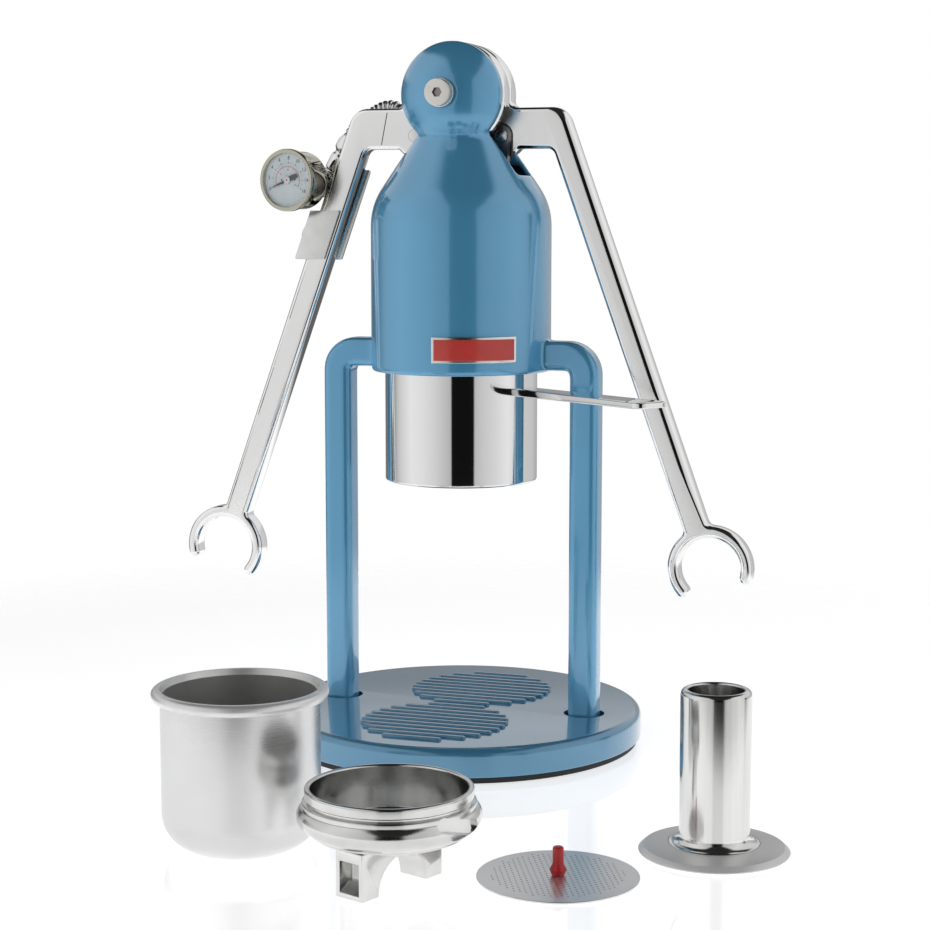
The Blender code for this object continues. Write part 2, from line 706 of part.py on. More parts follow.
def make_body():
    """The painted casting: torso, cheeks and legs, slotted for the arms and bored for the axle."""
    body = turned("body", torso_profile(), FINE_STEPS, "paint")
    bore = AXLE_RADIUS + GAP
    inner = SLOT_HALF_WIDTH - GAP
    sink = (HEAD_RADIUS**2 - NUT_SEAT_RADIUS**2 - FRONT_DOME**2) / (2 * FRONT_DOME)
    cap = math.hypot(HEAD_RADIUS, sink)
    dome = [(bore, -DOME_FRONT)]
    dome += arc((0, -CHEEK_FRONT - sink), cap, math.acos(NUT_SEAT_RADIUS / cap), math.asin(sink / cap))
    dome += [(HEAD_RADIUS, inner), (bore, inner)]
    head = (0, 0, HEAD_HEIGHT)
    front = turned("front_cheek", dome, CHEEK_STEPS, None, head, FRONT_FACING, ring=True)
    rear_profile = rounded(
        [
            (bore, -inner, 0),
            (REAR_CHEEK_RADIUS, -inner, 0),
            (REAR_CHEEK_RADIUS, -CHEEK_REAR, REAR_CHEEK_EDGE),
            (bore, -CHEEK_REAR, 0),
        ]
    )
    rear = turned("rear_cheek", rear_profile, CHEEK_STEPS, None, head, FRONT_FACING, ring=True)
    join(body, front, rear, leg(-1), leg(1))
    slot_height = HEAD_HEIGHT + HEAD_RADIUS + OVERRUN - SLOT_FLOOR
    slot = box(
        "arm_slot",
        (TORSO_RADIUS * 2, SLOT_HALF_WIDTH * 2, slot_height),
        (0, 0, SLOT_FLOOR + slot_height / 2),
    )
    cut(body, slot)
    for side in (-1, 1):
        hole = disc(
            "foot_hole",
            SCREW_RADIUS + GAP,
            FOOT - OVERRUN,
            BASE_BOTTOM + SCREW_LENGTH + GAP,
            TINY_STEPS,
            place=(side * LEG_X, 0, 0),
        )
        cut(body, hole)
    return body


def leg(side):
    """One leg: a rounded square bar swept from the torso wall round the bend to its foot."""
    half = LEG_WIDTH / 2
    section = bpy.data.curves.new("leg_section", "CURVE")
    section.dimensions = "2D"
    line = section.splines.new("POLY")
    corners = [(sx * half, sz * half, LEG_CORNER) for sx, sz in ((1, 1), (-1, 1), (-1, -1), (1, -1))]
    outline = rounded(corners)
    line.points.add(len(outline) - 1)
    for point, (x, y) in zip(line.points, outline):
        point.co = (x, y, 0, 1)
    line.use_cyclic_u = True
    guide = as_cutter(add_object("leg_section", section, None))
    path = bpy.data.curves.new("leg_path", "CURVE")
    path.dimensions = "3D"
    path.bevel_mode = "OBJECT"
    path.bevel_object = guide
    path.use_fill_caps = True
    route = rounded(
        [
            (CAVITY_RADIUS + TORSO_WALL / 2, LEG_AXIS_HEIGHT, 0),
            (LEG_X, LEG_AXIS_HEIGHT, LEG_BEND),
            (LEG_X, FOOT, 0),
        ],
        closed=False,
    )
    run = path.splines.new("POLY")
    run.points.add(len(route) - 1)
    for point, (x, z) in zip(run.points, route):
        point.co = (side * x, 0, z, 1)
    return curve_to_mesh(f"leg_{side + 1}", path, None, (0, 0, 0), (0, 0, 0))


def lobe_fillet(bottom):
    """Centre beside the link pin, and angle towards the lobe, of the fillet between a lower edge and the lobe."""
    height = bottom - LOBE_FILLET
    beside = math.sqrt((LOBE_RADIUS + LOBE_FILLET) ** 2 - (height + PIN_DROP) ** 2)
    return (beside, height), math.atan2(-PIN_DROP - height, beside)


def arm_outline():
    """Outline of an arm about its hub centre: x outwards, z up, at rest."""
    outer = ELBOW + ARM_SIDE * (ARM_WIDTH / 2)
    inner = ELBOW - ARM_SIDE * (ARM_WIDTH / 2)
    slope = math.tan(ARM_TILT)
    outer_x = outer.x + slope * (outer.y - SHOULDER_TOP)
    inner_x = inner.x + slope * (inner.y - SHOULDER_BOTTOM)
    fillet_z = SHOULDER_TOP + HUB_FILLET
    fillet_x = math.sqrt((HUB_RADIUS + HUB_FILLET) ** 2 - fillet_z**2)
    fillet_start = math.atan2(fillet_z, fillet_x)
    points = arc((0, 0), HUB_RADIUS, fillet_start, 1.5 * math.pi)
    centre, angle = lobe_fillet(HUB_BOTTOM)
    points += arc((PIN_X - centre[0], centre[1]), LOBE_FILLET, math.pi / 2, angle)
    points += arc((PIN_X, -PIN_DROP), LOBE_RADIUS, angle - math.pi, -lobe_fillet(SHOULDER_BOTTOM)[1])[1:-1]
    centre, angle = lobe_fillet(SHOULDER_BOTTOM)
    points += arc((PIN_X + centre[0], centre[1]), LOBE_FILLET, math.pi - angle, math.pi / 2)
    neck_side = ARM_WIDTH / 2 + NECK_FILLET
    neck_along = math.sqrt((HAND_RADIUS + NECK_FILLET) ** 2 - neck_side**2)
    neck_angle = math.atan2(neck_side, neck_along)
    up = ARM_TILT + math.pi / 2
    inner_neck = HAND - ARM_AXIS * neck_along - ARM_SIDE * neck_side
    outer_neck = HAND - ARM_AXIS * neck_along + ARM_SIDE * neck_side
    neck_in = inner_neck + ARM_SIDE * NECK_FILLET
    neck_out = outer_neck - ARM_SIDE * NECK_FILLET
    mouth_start = HAND_MOUTH_CENTRE - HAND_MOUTH_HALF + 2 * math.pi
    mouth_end = HAND_MOUTH_CENTRE + HAND_MOUTH_HALF
    elbow_in = [(PIN_X, SHOULDER_BOTTOM, 0), (inner_x, SHOULDER_BOTTOM, SHOULDER_INNER_ROUND), (*neck_in, 0)]
    points += rounded(elbow_in, closed=False)[1:-1]
    points += arc(inner_neck, NECK_FILLET, ARM_TILT, up + neck_angle - math.pi)[:-1]
    points += arc(HAND, HAND_RADIUS, up + neck_angle, mouth_start)
    points += arc(HAND, HAND_BORE, mouth_start, mouth_end)
    points += arc(HAND, HAND_RADIUS, mouth_end, up - neck_angle)
    points += arc(outer_neck, NECK_FILLET, up - neck_angle - math.pi, ARM_TILT - math.pi)[1:]
    elbow_out = [(*neck_out, 0), (outer_x, SHOULDER_TOP, SHOULDER_OUTER_ROUND), (fillet_x, SHOULDER_TOP, 0)]
    points += rounded(elbow_out, closed=False)[1:-1]
    points += arc((fillet_x, fillet_z), HUB_FILLET, -math.pi / 2, fillet_start - math.pi)[:-1]
    return points


def link_pocket():
    """Outline of the space that the link sweeps on the inner side of its arm."""
    radius = LINK_EYE_RADIUS + POCKET_CLEARANCE
    pin = (PIN_X, -PIN_DROP)
    last = math.pi - ARM_SWING
    back = Vector((-math.sin(last), math.cos(last)))
    rim = arc(pin, radius, 0, last)
    reach = LINK_LENGTH + OVERRUN
    far = Vector(rim[-1]) + back * reach
    low = -PIN_DROP - reach
    return rim + [(far.x, far.y), (far.x, low), (PIN_X + radius, low)]


def make_arm(name, side):
    """One arm with its axle bore, pin bore and link pocket; the left one is the right one turned round."""
    yaw = 0 if side > 0 else math.pi
    hub = (0, side * ARM_CENTRE_Y, HEAD_HEIGHT)
    arm = plate(name, [arm_outline()], ARM_THICKNESS, "chrome", hub, yaw=yaw)
    soften(arm, ARM_EDGE, 2)
    pocket_depth = ARM_GAP + LINK_THICKNESS + POCKET_CLEARANCE
    pocket = plate(
        name + "_pocket",
        [link_pocket()],
        pocket_depth + OVERRUN,
        None,
        (0, side * (pocket_depth - OVERRUN) / 2, HEAD_HEIGHT),
        yaw=yaw,
    )
    reach = ARM_THICKNESS + OVERRUN
    turn = (math.pi / 2, 0, 0)
    axle = disc(name + "_axle_bore", AXLE_RADIUS + GAP, -reach, reach, SMALL_STEPS, place=hub, turn=turn)
    pin_place = (side * PIN_X, side * ARM_CENTRE_Y, LINK_TOP)
    pin = disc(name + "_pin_bore", PIN_RADIUS + GAP, -reach, reach, TINY_STEPS, place=pin_place, turn=turn)
    return cut(arm, pocket, axle, pin)


def make_link(name, side):
    """A flat link with two round eyes, hung on the arm's pin."""
    eye = LINK_EYE_RADIUS
    half = LINK_WAIST / 2
    waist = math.asin(half / eye)
    outline = arc((0, 0), eye, -math.pi / 2 + waist, 1.5 * math.pi - waist)
    outline += arc((0, -LINK_LENGTH), eye, math.pi / 2 + waist, 2.5 * math.pi - waist)
    pin = arc((0, 0), PIN_RADIUS + GAP, 0, 2 * math.pi)[:-1]
    place = (side * PIN_X, side * LINK_CENTRE_Y, LINK_TOP)
    return plate(name, [outline, pin], LINK_THICKNESS, "steel", place)


def make_link_pin(name, side):
    """The pin that carries a link in its arm, flush with the arm's outer face."""
    low, high = GAP, ARM_GAP + ARM_THICKNESS
    near, far = sorted((-side * low, -side * high))
    place = (side * PIN_X, 0, LINK_TOP)
    return disc(name, PIN_RADIUS, near, far, TINY_STEPS, "steel", place, FRONT_FACING)


def make_axle():
    """Axle across the head, with a washer and socket cap at the front and a hexagon nut behind."""
    head = (0, 0, HEAD_HEIGHT)
    front = -DOME_FRONT
    cap_back = front + GAP + WASHER_THICKNESS + GAP
    tail = -CHEEK_REAR - GAP - REAR_NUT_THICKNESS - AXLE_TAIL
    disc("axle", AXLE_RADIUS, tail, cap_back - GAP, SMALL_STEPS, "steel", head, FRONT_FACING)
    ring = tube(WASHER_RADIUS, AXLE_RADIUS + GAP, front + GAP, front + GAP + WASHER_THICKNESS)
    turned("axle_washer", ring, SMALL_STEPS, "steel", head, FRONT_FACING, ring=True)
    cap_top = cap_back + CAP_THICKNESS
    profile = rounded(
        [(0, cap_top, 0), (CAP_RADIUS, cap_top, CAP_EDGE), (CAP_RADIUS, cap_back, 0), (0, cap_back, 0)],
        closed=False,
    )
    cap = turned("axle_cap", profile, SMALL_STEPS, "steel", head, FRONT_FACING)
    low, high = cap_top - HEX_SOCKET_DEPTH, cap_top + OVERRUN
    cut(cap, disc("hex_socket", HEX_SOCKET_RADIUS, low, high, HEX_SIDES, None, head, FRONT_FACING))
    nut_front = -CHEEK_REAR - GAP
    nut_back = nut_front - REAR_NUT_THICKNESS
    nut = disc("axle_nut", REAR_NUT_RADIUS, nut_back, nut_front, HEX_SIDES, "steel", head, FRONT_FACING)
    low, high = nut_back - OVERRUN, nut_front + OVERRUN
    cut(nut, disc("nut_bore", AXLE_RADIUS + GAP, low, high, SMALL_STEPS, None, head, FRONT_FACING))


def make_piston():
    """Piston rod with a clevis for the links, the piston on its foot and the seal in its groove."""
    half_x = PIN_X
    top = CLEVIS_HEIGHT + CLEVIS_ROUND
    outline = rounded(
        [
            (half_x + CLEVIS_ROUND, CLEVIS_BOTTOM, CLEVIS_ROUND),
            (half_x + CLEVIS_ROUND, top, CLEVIS_ROUND),
            (-half_x - CLEVIS_ROUND, top, CLEVIS_ROUND),
            (-half_x - CLEVIS_ROUND, CLEVIS_BOTTOM, CLEVIS_ROUND),
        ],
    )
    width = 2 * (CLEVIS_HALF_SLOT + CLEVIS_PLATE)
    rod = plate("piston_rod", [outline], width, "steel")
    floor = CLEVIS_HEIGHT - CLEVIS_FLOOR_DROP
    slot_height = top + OVERRUN - floor
    slot = box(
        "clevis_slot",
        (2 * (half_x + CLEVIS_ROUND + OVERRUN), 2 * CLEVIS_HALF_SLOT, slot_height),
        (0, 0, floor + slot_height / 2),
    )
    rod_foot = PISTON_TOP - ROD_SOCKET_DEPTH + GAP
    shaft = disc("rod_shaft", ROD_RADIUS, rod_foot, CLEVIS_BOTTOM + CLEVIS_WEB / 2, SMALL_STEPS)
    join(rod, shaft)
    cut(rod, slot)
    for side in (-1, 1):
        inner, outer = CLEVIS_HALF_SLOT, CLEVIS_HALF_SLOT + CLEVIS_PLATE
        near, far = sorted((-side * (inner - GAP), -side * (outer + OVERRUN)))
        place = (side * PIN_X, 0, CLEVIS_HEIGHT)
        cut(rod, disc("clevis_bore", PIN_RADIUS + GAP, near, far, TINY_STEPS, None, place, FRONT_FACING))
    pins = [clevis_pin("clevis_pin_left", -1), clevis_pin("clevis_pin_right", 1)]
    hub_top = PISTON_TOP + PISTON_HUB_HEIGHT
    groove_low = PISTON_BOTTOM + SEAL_RISE
    groove_high = groove_low + SEAL_HEIGHT
    socket_radius = ROD_RADIUS + GAP
    socket_floor = PISTON_TOP - ROD_SOCKET_DEPTH
    profile = rounded(
        [
            (socket_radius, hub_top, 0),
            (PISTON_HUB_RADIUS, hub_top, PISTON_EDGE),
            (PISTON_HUB_RADIUS, PISTON_TOP, 0),
            (PISTON_RADIUS, PISTON_TOP, PISTON_EDGE),
            (PISTON_RADIUS, groove_high, 0),
            (SEAL_GROOVE_RADIUS, groove_high, 0),
            (SEAL_GROOVE_RADIUS, groove_low, 0),
            (PISTON_RADIUS, groove_low, 0),
            (PISTON_RADIUS, PISTON_BOTTOM, PISTON_EDGE),
            (0, PISTON_BOTTOM, 0),
        ],
        closed=False,
    )
    profile = [(0, socket_floor), (socket_radius, socket_floor)] + profile
    piston = turned("piston", profile, ROUND_STEPS, "steel")
    seal = tube(SEAL_RADIUS, SEAL_GROOVE_RADIUS + GAP, groove_low + GAP, groove_high - GAP)
    ring = turned("piston_seal", seal, ROUND_STEPS, "rubber", ring=True)
    return [rod, *pins, piston, ring]


def clevis_pin(name, side):
    """A pin in one clevis plate, flush with the slot."""
    inner, outer = CLEVIS_HALF_SLOT, CLEVIS_HALF_SLOT + CLEVIS_PLATE
    near, far = sorted((-side * inner, -side * outer))
    place = (side * PIN_X, 0, CLEVIS_HEIGHT)
    return disc(name, PIN_RADIUS, near, far, TINY_STEPS, "steel", place, FRONT_FACING)


def make_group():
    """Bayonet ring, guide plate and bush inside the torso."""
    lip_top = GROUP_BOTTOM + GROUP_LIP_HEIGHT
    groove_top = lip_top + GROUP_GROOVE_HEIGHT
    top = GROUP_BOTTOM + GROUP_HEIGHT
    bore = PORTAFILTER_RADIUS + GAP
    profile = [
        (GROUP_RADIUS, top),
        (GROUP_RADIUS, GROUP_BOTTOM),
        (bore, GROUP_BOTTOM),
        (bore, lip_top),
        (GROUP_GROOVE_RADIUS, lip_top),
        (GROUP_GROOVE_RADIUS, groove_top),
        (GROUP_TOP_BORE, groove_top),
        (GROUP_TOP_BORE, top),
    ]
    ring = turned("group_ring", profile, FINE_STEPS, "steel", ring=True)
    for index in range(LUG_COUNT):
        angle = LUG_FIRST - TWIST + index * 2 * math.pi / LUG_COUNT
        reach = GROUP_GROOVE_RADIUS - GAP
        height = GROUP_LIP_HEIGHT + OVERRUN
        gate = box(
            "lug_gate",
            (GATE_DEPTH, GATE_WIDTH, height),
            (
                (reach - GATE_DEPTH / 2) * math.cos(angle),
                (reach - GATE_DEPTH / 2) * math.sin(angle),
                lip_top + GAP - height / 2,
            ),
            (0, 0, angle),
        )
        cut(ring, gate)
    guide_top = GUIDE_BOTTOM + GUIDE_THICKNESS
    guide = turned(
        "guide_plate",
        tube(GROUP_RADIUS, BUSH_RADIUS + GAP, GUIDE_BOTTOM, guide_top),
        FINE_STEPS,
        "steel",
        ring=True,
    )
    for index in range(VENT_COUNT):
        angle = index * 2 * math.pi / VENT_COUNT
        place = (VENT_CIRCLE_RADIUS * math.cos(angle), VENT_CIRCLE_RADIUS * math.sin(angle), 0)
        low, high = GUIDE_BOTTOM - OVERRUN, guide_top + OVERRUN
        cut(guide, disc("vent", VENT_RADIUS, low, high, TINY_STEPS, place=place))
    flange_low = guide_top + GAP
    bush = [
        (BUSH_FLANGE_RADIUS, flange_low + BUSH_FLANGE_HEIGHT),
        (BUSH_FLANGE_RADIUS, flange_low),
        (BUSH_RADIUS, flange_low),
        (BUSH_RADIUS, flange_low + BUSH_FLANGE_HEIGHT - BUSH_HEIGHT),
        (ROD_RADIUS + GAP, flange_low + BUSH_FLANGE_HEIGHT - BUSH_HEIGHT),
        (ROD_RADIUS + GAP, flange_low + BUSH_FLANGE_HEIGHT),
    ]
    turned("guide_bush", bush, SMALL_STEPS, "brass", ring=True)


def make_portafilter():
    """Polished tube with three lugs at its top, and the flat handle that turns it."""
    top = GROUP_BOTTOM + GROUP_LIP_HEIGHT + GROUP_GROOVE_HEIGHT - 2 * GAP
    profile = rounded(
        [
            (PORTAFILTER_RADIUS, top, 0),
            (PORTAFILTER_RADIUS, PORTAFILTER_BOTTOM, PORTAFILTER_EDGE),
            (PORTAFILTER_BORE, PORTAFILTER_BOTTOM, 0),
            (PORTAFILTER_BORE, top, 0),
        ],
        closed=False,
    )
    body = turned("portafilter", profile, FINE_STEPS, "chrome", ring=True)
    low = GROUP_BOTTOM + GROUP_LIP_HEIGHT + GAP
    wall = PORTAFILTER_RADIUS - PORTAFILTER_BORE
    depth = LUG_REACH + wall / 2
    for index in range(LUG_COUNT):
        angle = LUG_FIRST + index * 2 * math.pi / LUG_COUNT
        middle = PORTAFILTER_RADIUS + LUG_REACH - depth / 2
        lug = box(
            "lug",
            (depth, LUG_LENGTH, top - low),
            (middle * math.cos(angle), middle * math.sin(angle), (top + low) / 2),
            (0, 0, angle),
        )
        join(body, lug)
    trim = turned(
        "lug_trim",
        tube(PORTAFILTER_RADIUS + OVERRUN, PORTAFILTER_RADIUS + LUG_REACH, low - OVERRUN, top + OVERRUN),
        FINE_STEPS,
        None,
        ring=True,
    )
    cut(body, trim)
    root, end = HANDLE_ROOT_WIDTH / 2, HANDLE_END_WIDTH / 2
    outline = rounded(
        [
            (0, root, 0),
            (0, -root, 0),
            (HANDLE_LENGTH, -end, HANDLE_END_ROUND),
            (HANDLE_LENGTH, end, HANDLE_END_ROUND),
        ],
    )
    handle = plate(
        "portafilter_handle",
        [outline],
        HANDLE_THICKNESS,
        "chrome",
        (HANDLE_START_X, HANDLE_START_Y, HANDLE_TOP - HANDLE_THICKNESS / 2),
        upright=False,
        yaw=HANDLE_DIRECTION,
    )
    low, high = HANDLE_TOP - HANDLE_THICKNESS - OVERRUN, HANDLE_TOP + OVERRUN
    cut(handle, disc("handle_seat", PORTAFILTER_RADIUS + GAP, low, high, FINE_STEPS))
    return body, handle


def gauge_point(depth):
    """A point on the gauge's axis, depth behind the dial's face."""
    return (GAUGE_X - depth * math.sin(GAUGE_YAW), GAUGE_Y + depth * math.cos(GAUGE_YAW), GAUGE_Z)


def make_gauge():
    """Gauge case, bezel, dial, lens and needle, and the block behind that feeds it."""
    centre = gauge_point(0)
    turn = (math.pi / 2, 0, GAUGE_YAW)
    back = -CASE_DEPTH
    floor = -DIAL_THICKNESS - GAP
    case_bore = CASE_RADIUS - CASE_WALL
    bezel_back = BEZEL_FACE - BEZEL_DEPTH
    case = rounded(
        [
            (CASE_RADIUS, bezel_back - GAP, 0),
            (CASE_RADIUS, back, CASE_WALL),
            (CASE_TAIL_RADIUS, back - CASE_TAPER, 0),
            (0, back - CASE_TAPER, 0),
            (0, floor, 0),
            (case_bore, floor, 0),
            (case_bore, bezel_back - GAP, 0),
        ],
        closed=False,
    )
    pieces = [turned("gauge_case", case[-3:] + case[:-3], GAUGE_STEPS, "steel", centre, turn)]
    lip = BEZEL_RADIUS - BEZEL_LIP
    bezel = rounded(
        [
            (BEZEL_RADIUS, BEZEL_FACE, BEZEL_LIP / 2),
            (BEZEL_RADIUS, bezel_back, 0),
            (case_bore, bezel_back, 0),
            (case_bore, BEZEL_SEAT, 0),
            (lip - BEZEL_LIP / 2, BEZEL_FACE, 0),
        ],
    )
    pieces.append(turned("gauge_bezel", bezel, GAUGE_STEPS, "chrome", centre, turn, ring=True))
    pieces.append(disc("gauge_dial", DIAL_RADIUS, -DIAL_THICKNESS, 0, GAUGE_STEPS, "dial", centre, turn))
    lens_middle = NEEDLE_GAP + NEEDLE_THICKNESS + GAP
    pieces.append(
        disc(
            "gauge_lens",
            case_bore - GAP,
            lens_middle - LENS_THICKNESS / 2,
            lens_middle + LENS_THICKNESS / 2,
            GAUGE_STEPS,
            "glass",
            centre,
            turn,
        )
    )
    return pieces, make_needle(turn), make_block(turn)


def make_needle(turn):
    """The pointer with its broad tail and round hub, resting at the zero mark."""
    direction = Vector((math.cos(NEEDLE_REST), math.sin(NEEDLE_REST)))
    across = Vector((-direction.y, direction.x))
    tip = direction * NEEDLE_LENGTH
    tail = -direction * NEEDLE_TAIL
    hub = NEEDLE_HUB_RADIUS / 2
    outline = [
        tip + across * NEEDLE_TIP_WIDTH,
        -direction * hub + across * hub,
        tail + across * (NEEDLE_TAIL_WIDTH / 2),
        tail - across * (NEEDLE_TAIL_WIDTH / 2),
        -direction * hub - across * hub,
        tip - across * NEEDLE_TIP_WIDTH,
    ]
    place = gauge_point(-NEEDLE_GAP - NEEDLE_THICKNESS / 2)
    points = [(point.x, point.y) for point in outline]
    needle = plate("gauge_needle", [points], NEEDLE_THICKNESS, "needle", place, yaw=turn[2])
    low, high = NEEDLE_GAP - GAP / 2, NEEDLE_GAP + NEEDLE_THICKNESS
    hub = disc("needle_hub", NEEDLE_HUB_RADIUS, low, high, TINY_STEPS, None, gauge_point(0), turn)
    return join(needle, hub)


def make_block(turn):
    """The round block behind the gauge, which the bracket's ear holds and the hose feeds."""
    low = -CASE_DEPTH - CASE_TAPER - GAP
    cap = low - BLOCK_LENGTH
    profile = [
        (0, low),
        (BLOCK_RADIUS, low),
        (BLOCK_RADIUS, cap),
        (BLOCK_CAP_RADIUS, cap),
        (BLOCK_CAP_RADIUS, cap - BLOCK_CAP_LENGTH),
        (0, cap - BLOCK_CAP_LENGTH),
    ]
    return turned("gauge_block", profile, SMALL_STEPS, "steel", gauge_point(0), turn)


def arm_edge_x(height, offset):
    """X of a line beside the left forearm, offset outwards from the forearm's outer edge."""
    outer = ELBOW + ARM_SIDE * (ARM_WIDTH / 2 + offset)
    return -(outer.x + math.tan(ARM_TILT) * (outer.y - (height - HEAD_HEIGHT)))


def make_bracket():
    """Folded sheet clip round the left forearm: short front leaf, outer wall, long rear leaf with an ear."""
    front_y = -ARM_GAP - ARM_THICKNESS - GAP
    rear_y = -ARM_GAP + GAP
    inside = -ARM_WIDTH - CLIP_INSIDE
    short = -ARM_WIDTH + CLIP_FRONT_SHORT

    def leaf(low, high, outer, inner):
        return [
            (arm_edge_x(high, outer), high),
            (arm_edge_x(low, outer), low),
            (arm_edge_x(low, inner), low),
            (arm_edge_x(high, inner), high),
        ]

    def sheet(name, outline, near, far, finish=None):
        middle = (near + far) / 2
        return plate(name, [outline], far - near, finish, (0, middle, 0))

    rear_outside = CLIP_OUTSIDE + CLIP_MARGIN
    ear_top = CLIP_REAR_TOP + CLIP_INSIDE
    ear_x = gauge_point(CASE_DEPTH + CASE_TAPER + BLOCK_LENGTH / 2)[0] - EAR_REACH
    rear = [
        (ear_x, ear_top),
        (ear_x, EAR_BOTTOM),
        (arm_edge_x(EAR_BOTTOM, rear_outside), EAR_BOTTOM),
        (arm_edge_x(CLIP_BOTTOM - CLIP_MARGIN, rear_outside), CLIP_BOTTOM - CLIP_MARGIN),
        (arm_edge_x(CLIP_BOTTOM - CLIP_MARGIN, inside), CLIP_BOTTOM - CLIP_MARGIN),
        (arm_edge_x(ear_top, inside), ear_top),
    ]
    bracket = sheet("gauge_bracket", rear, rear_y, rear_y + SHEET, "steel")
    outer = leaf(CLIP_BOTTOM, CLIP_TOP, CLIP_OUTSIDE, short)
    hollow = leaf(CLIP_BOTTOM - OVERRUN, CLIP_TOP + OVERRUN, CLIP_OUTSIDE - SHEET, short - OVERRUN)
    channel = sheet("clip_channel", outer, front_y - SHEET, rear_y + SHEET / 2)
    cut(channel, sheet("clip_hollow", hollow, front_y, rear_y + SHEET))
    join(bracket, channel)
    reach = CASE_DEPTH + CASE_TAPER + BLOCK_LENGTH
    hole = disc(
        "block_hole",
        BLOCK_RADIUS + GAP,
        -reach - OVERRUN,
        -CASE_DEPTH - CASE_TAPER,
        SMALL_STEPS,
        None,
        gauge_point(0),
        (math.pi / 2, 0, GAUGE_YAW),
    )
    cut(bracket, hole)
    side = Vector((-math.cos(ARM_TILT), 0, math.sin(ARM_TILT)))
    middle_y = -ARM_GAP - ARM_THICKNESS / 2
    start = Vector((arm_edge_x(CLIP_SCREW_HEIGHT, GAP), middle_y, CLIP_SCREW_HEIGHT))
    turn = side.to_track_quat("Z", "Y").to_euler()
    bore = disc("clip_bore", CLIP_SCREW_RADIUS + GAP, 0, CLIP_OUTSIDE + OVERRUN, TINY_STEPS, None, start, turn)
    cut(bracket, bore)
    head = CLIP_OUTSIDE - GAP
    profile = [
        (0, head + CLIP_SCREW_HEAD),
        (CLIP_SCREW_HEAD_RADIUS, head + CLIP_SCREW_HEAD),
        (CLIP_SCREW_HEAD_RADIUS, head + GAP),
        (CLIP_SCREW_RADIUS, head + GAP),
        (CLIP_SCREW_RADIUS, 0),
        (0, 0),
    ]
    screw = turned("bracket_screw", profile, TINY_STEPS, "steel", start, turn)
    return bracket, screw


def smooth_route(points, spacing):
    """Points every spacing along a smooth curve through the route's own points."""
    ends = [points[0] * 2 - points[1]] + points + [points[-1] * 2 - points[-2]]
    fine = []
    for index in range(1, len(ends) - 2):
        a, b, c, d = ends[index - 1 : index + 3]
        for step in range(ROUTE_SAMPLES):
            t = step / ROUTE_SAMPLES
            fine.append(
                0.5
                * (
                    2 * b
                    + (c - a) * t
                    + (2 * a - 5 * b + 4 * c - d) * t**2
                    + (3 * b - a - 3 * c + d) * t**3
                )
            )
    fine.append(points[-1])
    length = sum((b - a).length for a, b in zip(fine, fine[1:]))
    count = max(2, round(length / spacing))
    wanted = [length * index / count for index in range(count + 1)]
    placed, walked, at = [fine[0]], 0.0, 0
    for goal in wanted[1:-1]:
        while walked + (fine[at + 1] - fine[at]).length < goal:
            walked += (fine[at + 1] - fine[at]).length
            at += 1
        share = (goal - walked) / (fine[at + 1] - fine[at]).length
        placed.append(fine[at].lerp(fine[at + 1], share))
    placed.append(fine[-1])
    return placed, length


def hose_curve(name, points, radii):
    """Curve data of a round tube through the points, with its own radius at each."""
    data = bpy.data.curves.new(name, "CURVE")
    data.dimensions = "3D"
    data.bevel_depth = HOSE_RADIUS
    data.bevel_resolution = 2
    data.use_fill_caps = True
    line = data.splines.new("POLY")
    line.points.add(len(points) - 1)
    for point, place, radius in zip(line.points, points, radii):
        point.co = (*place, 1)
        point.radius = radius / HOSE_RADIUS
    return data


def make_hose():
    """Ribbed hose along its route, with its bore, the coupling at the gauge and the tail on the rod."""
    route = [Vector((x, y, HEAD_HEIGHT + z)) for x, y, z in HOSE_ROUTE]
    points, length = smooth_route(route, HOSE_RIB_PITCH / 2)
    radii = []
    plain = 2 * HOSE_RADIUS
    for index in range(len(points)):
        along = length * index / (len(points) - 1)
        at_end = along < plain or along > length - plain
        low = at_end or index % 2
        radii.append(HOSE_RADIUS - HOSE_RIB_DEPTH if low else HOSE_RADIUS)
    hose = curve_to_mesh("hose", hose_curve("hose", points, radii), "steel", (0, 0, 0), (0, 0, 0))
    first = points[0] + (points[0] - points[1]).normalized() * OVERRUN
    last = points[-1] + (points[-1] - points[-2]).normalized() * OVERRUN
    plain_points, _ = smooth_route(route, 2 * HOSE_RIB_PITCH)
    bore_points = [first] + plain_points + [last]
    bore = curve_to_mesh(
        "hose_bore", hose_curve("hose_bore", bore_points, [HOSE_BORE] * len(bore_points)), None, (0, 0, 0), (0, 0, 0)
    )
    cut(hose, bore)
    start = points[0]
    along = (points[1] - points[0]).normalized()
    turn = along.to_track_quat("Z", "Y").to_euler()
    top = -GAP
    profile = rounded(
        [
            (0, top, 0),
            (HOSE_RADIUS, top, 0),
            (FERRULE_RADIUS, top - FERRULE_HEAD, FERRULE_ROUND),
            (FERRULE_WAIST, top - FERRULE_MIDDLE, FERRULE_ROUND),
            (FERRULE_RADIUS, top - FERRULE_FOOT, FERRULE_ROUND),
            (FERRULE_WAIST, top - FERRULE_LENGTH, 0),
            (0, top - FERRULE_LENGTH, 0),
        ],
        closed=False,
    )
    ferrule = turned("hose_ferrule", profile, SMALL_STEPS, "chrome", start, turn)
    seat = disc(
        "ferrule_seat",
        BLOCK_RADIUS + GAP,
        -CASE_DEPTH - CASE_TAPER - BLOCK_LENGTH - OVERRUN,
        -CASE_DEPTH,
        SMALL_STEPS,
        None,
        gauge_point(0),
        (math.pi / 2, 0, GAUGE_YAW),
    )
    cut(ferrule, seat)
    end = points[-1]
    tail_top = end.z - GAP
    tail_low = CLEVIS_HEIGHT + CLEVIS_ROUND + GAP
    tail = disc("hose_tail", TAIL_RADIUS, tail_low, tail_top, SMALL_STEPS, "steel", (end.x, end.y, 0))
    return hose, ferrule, tail


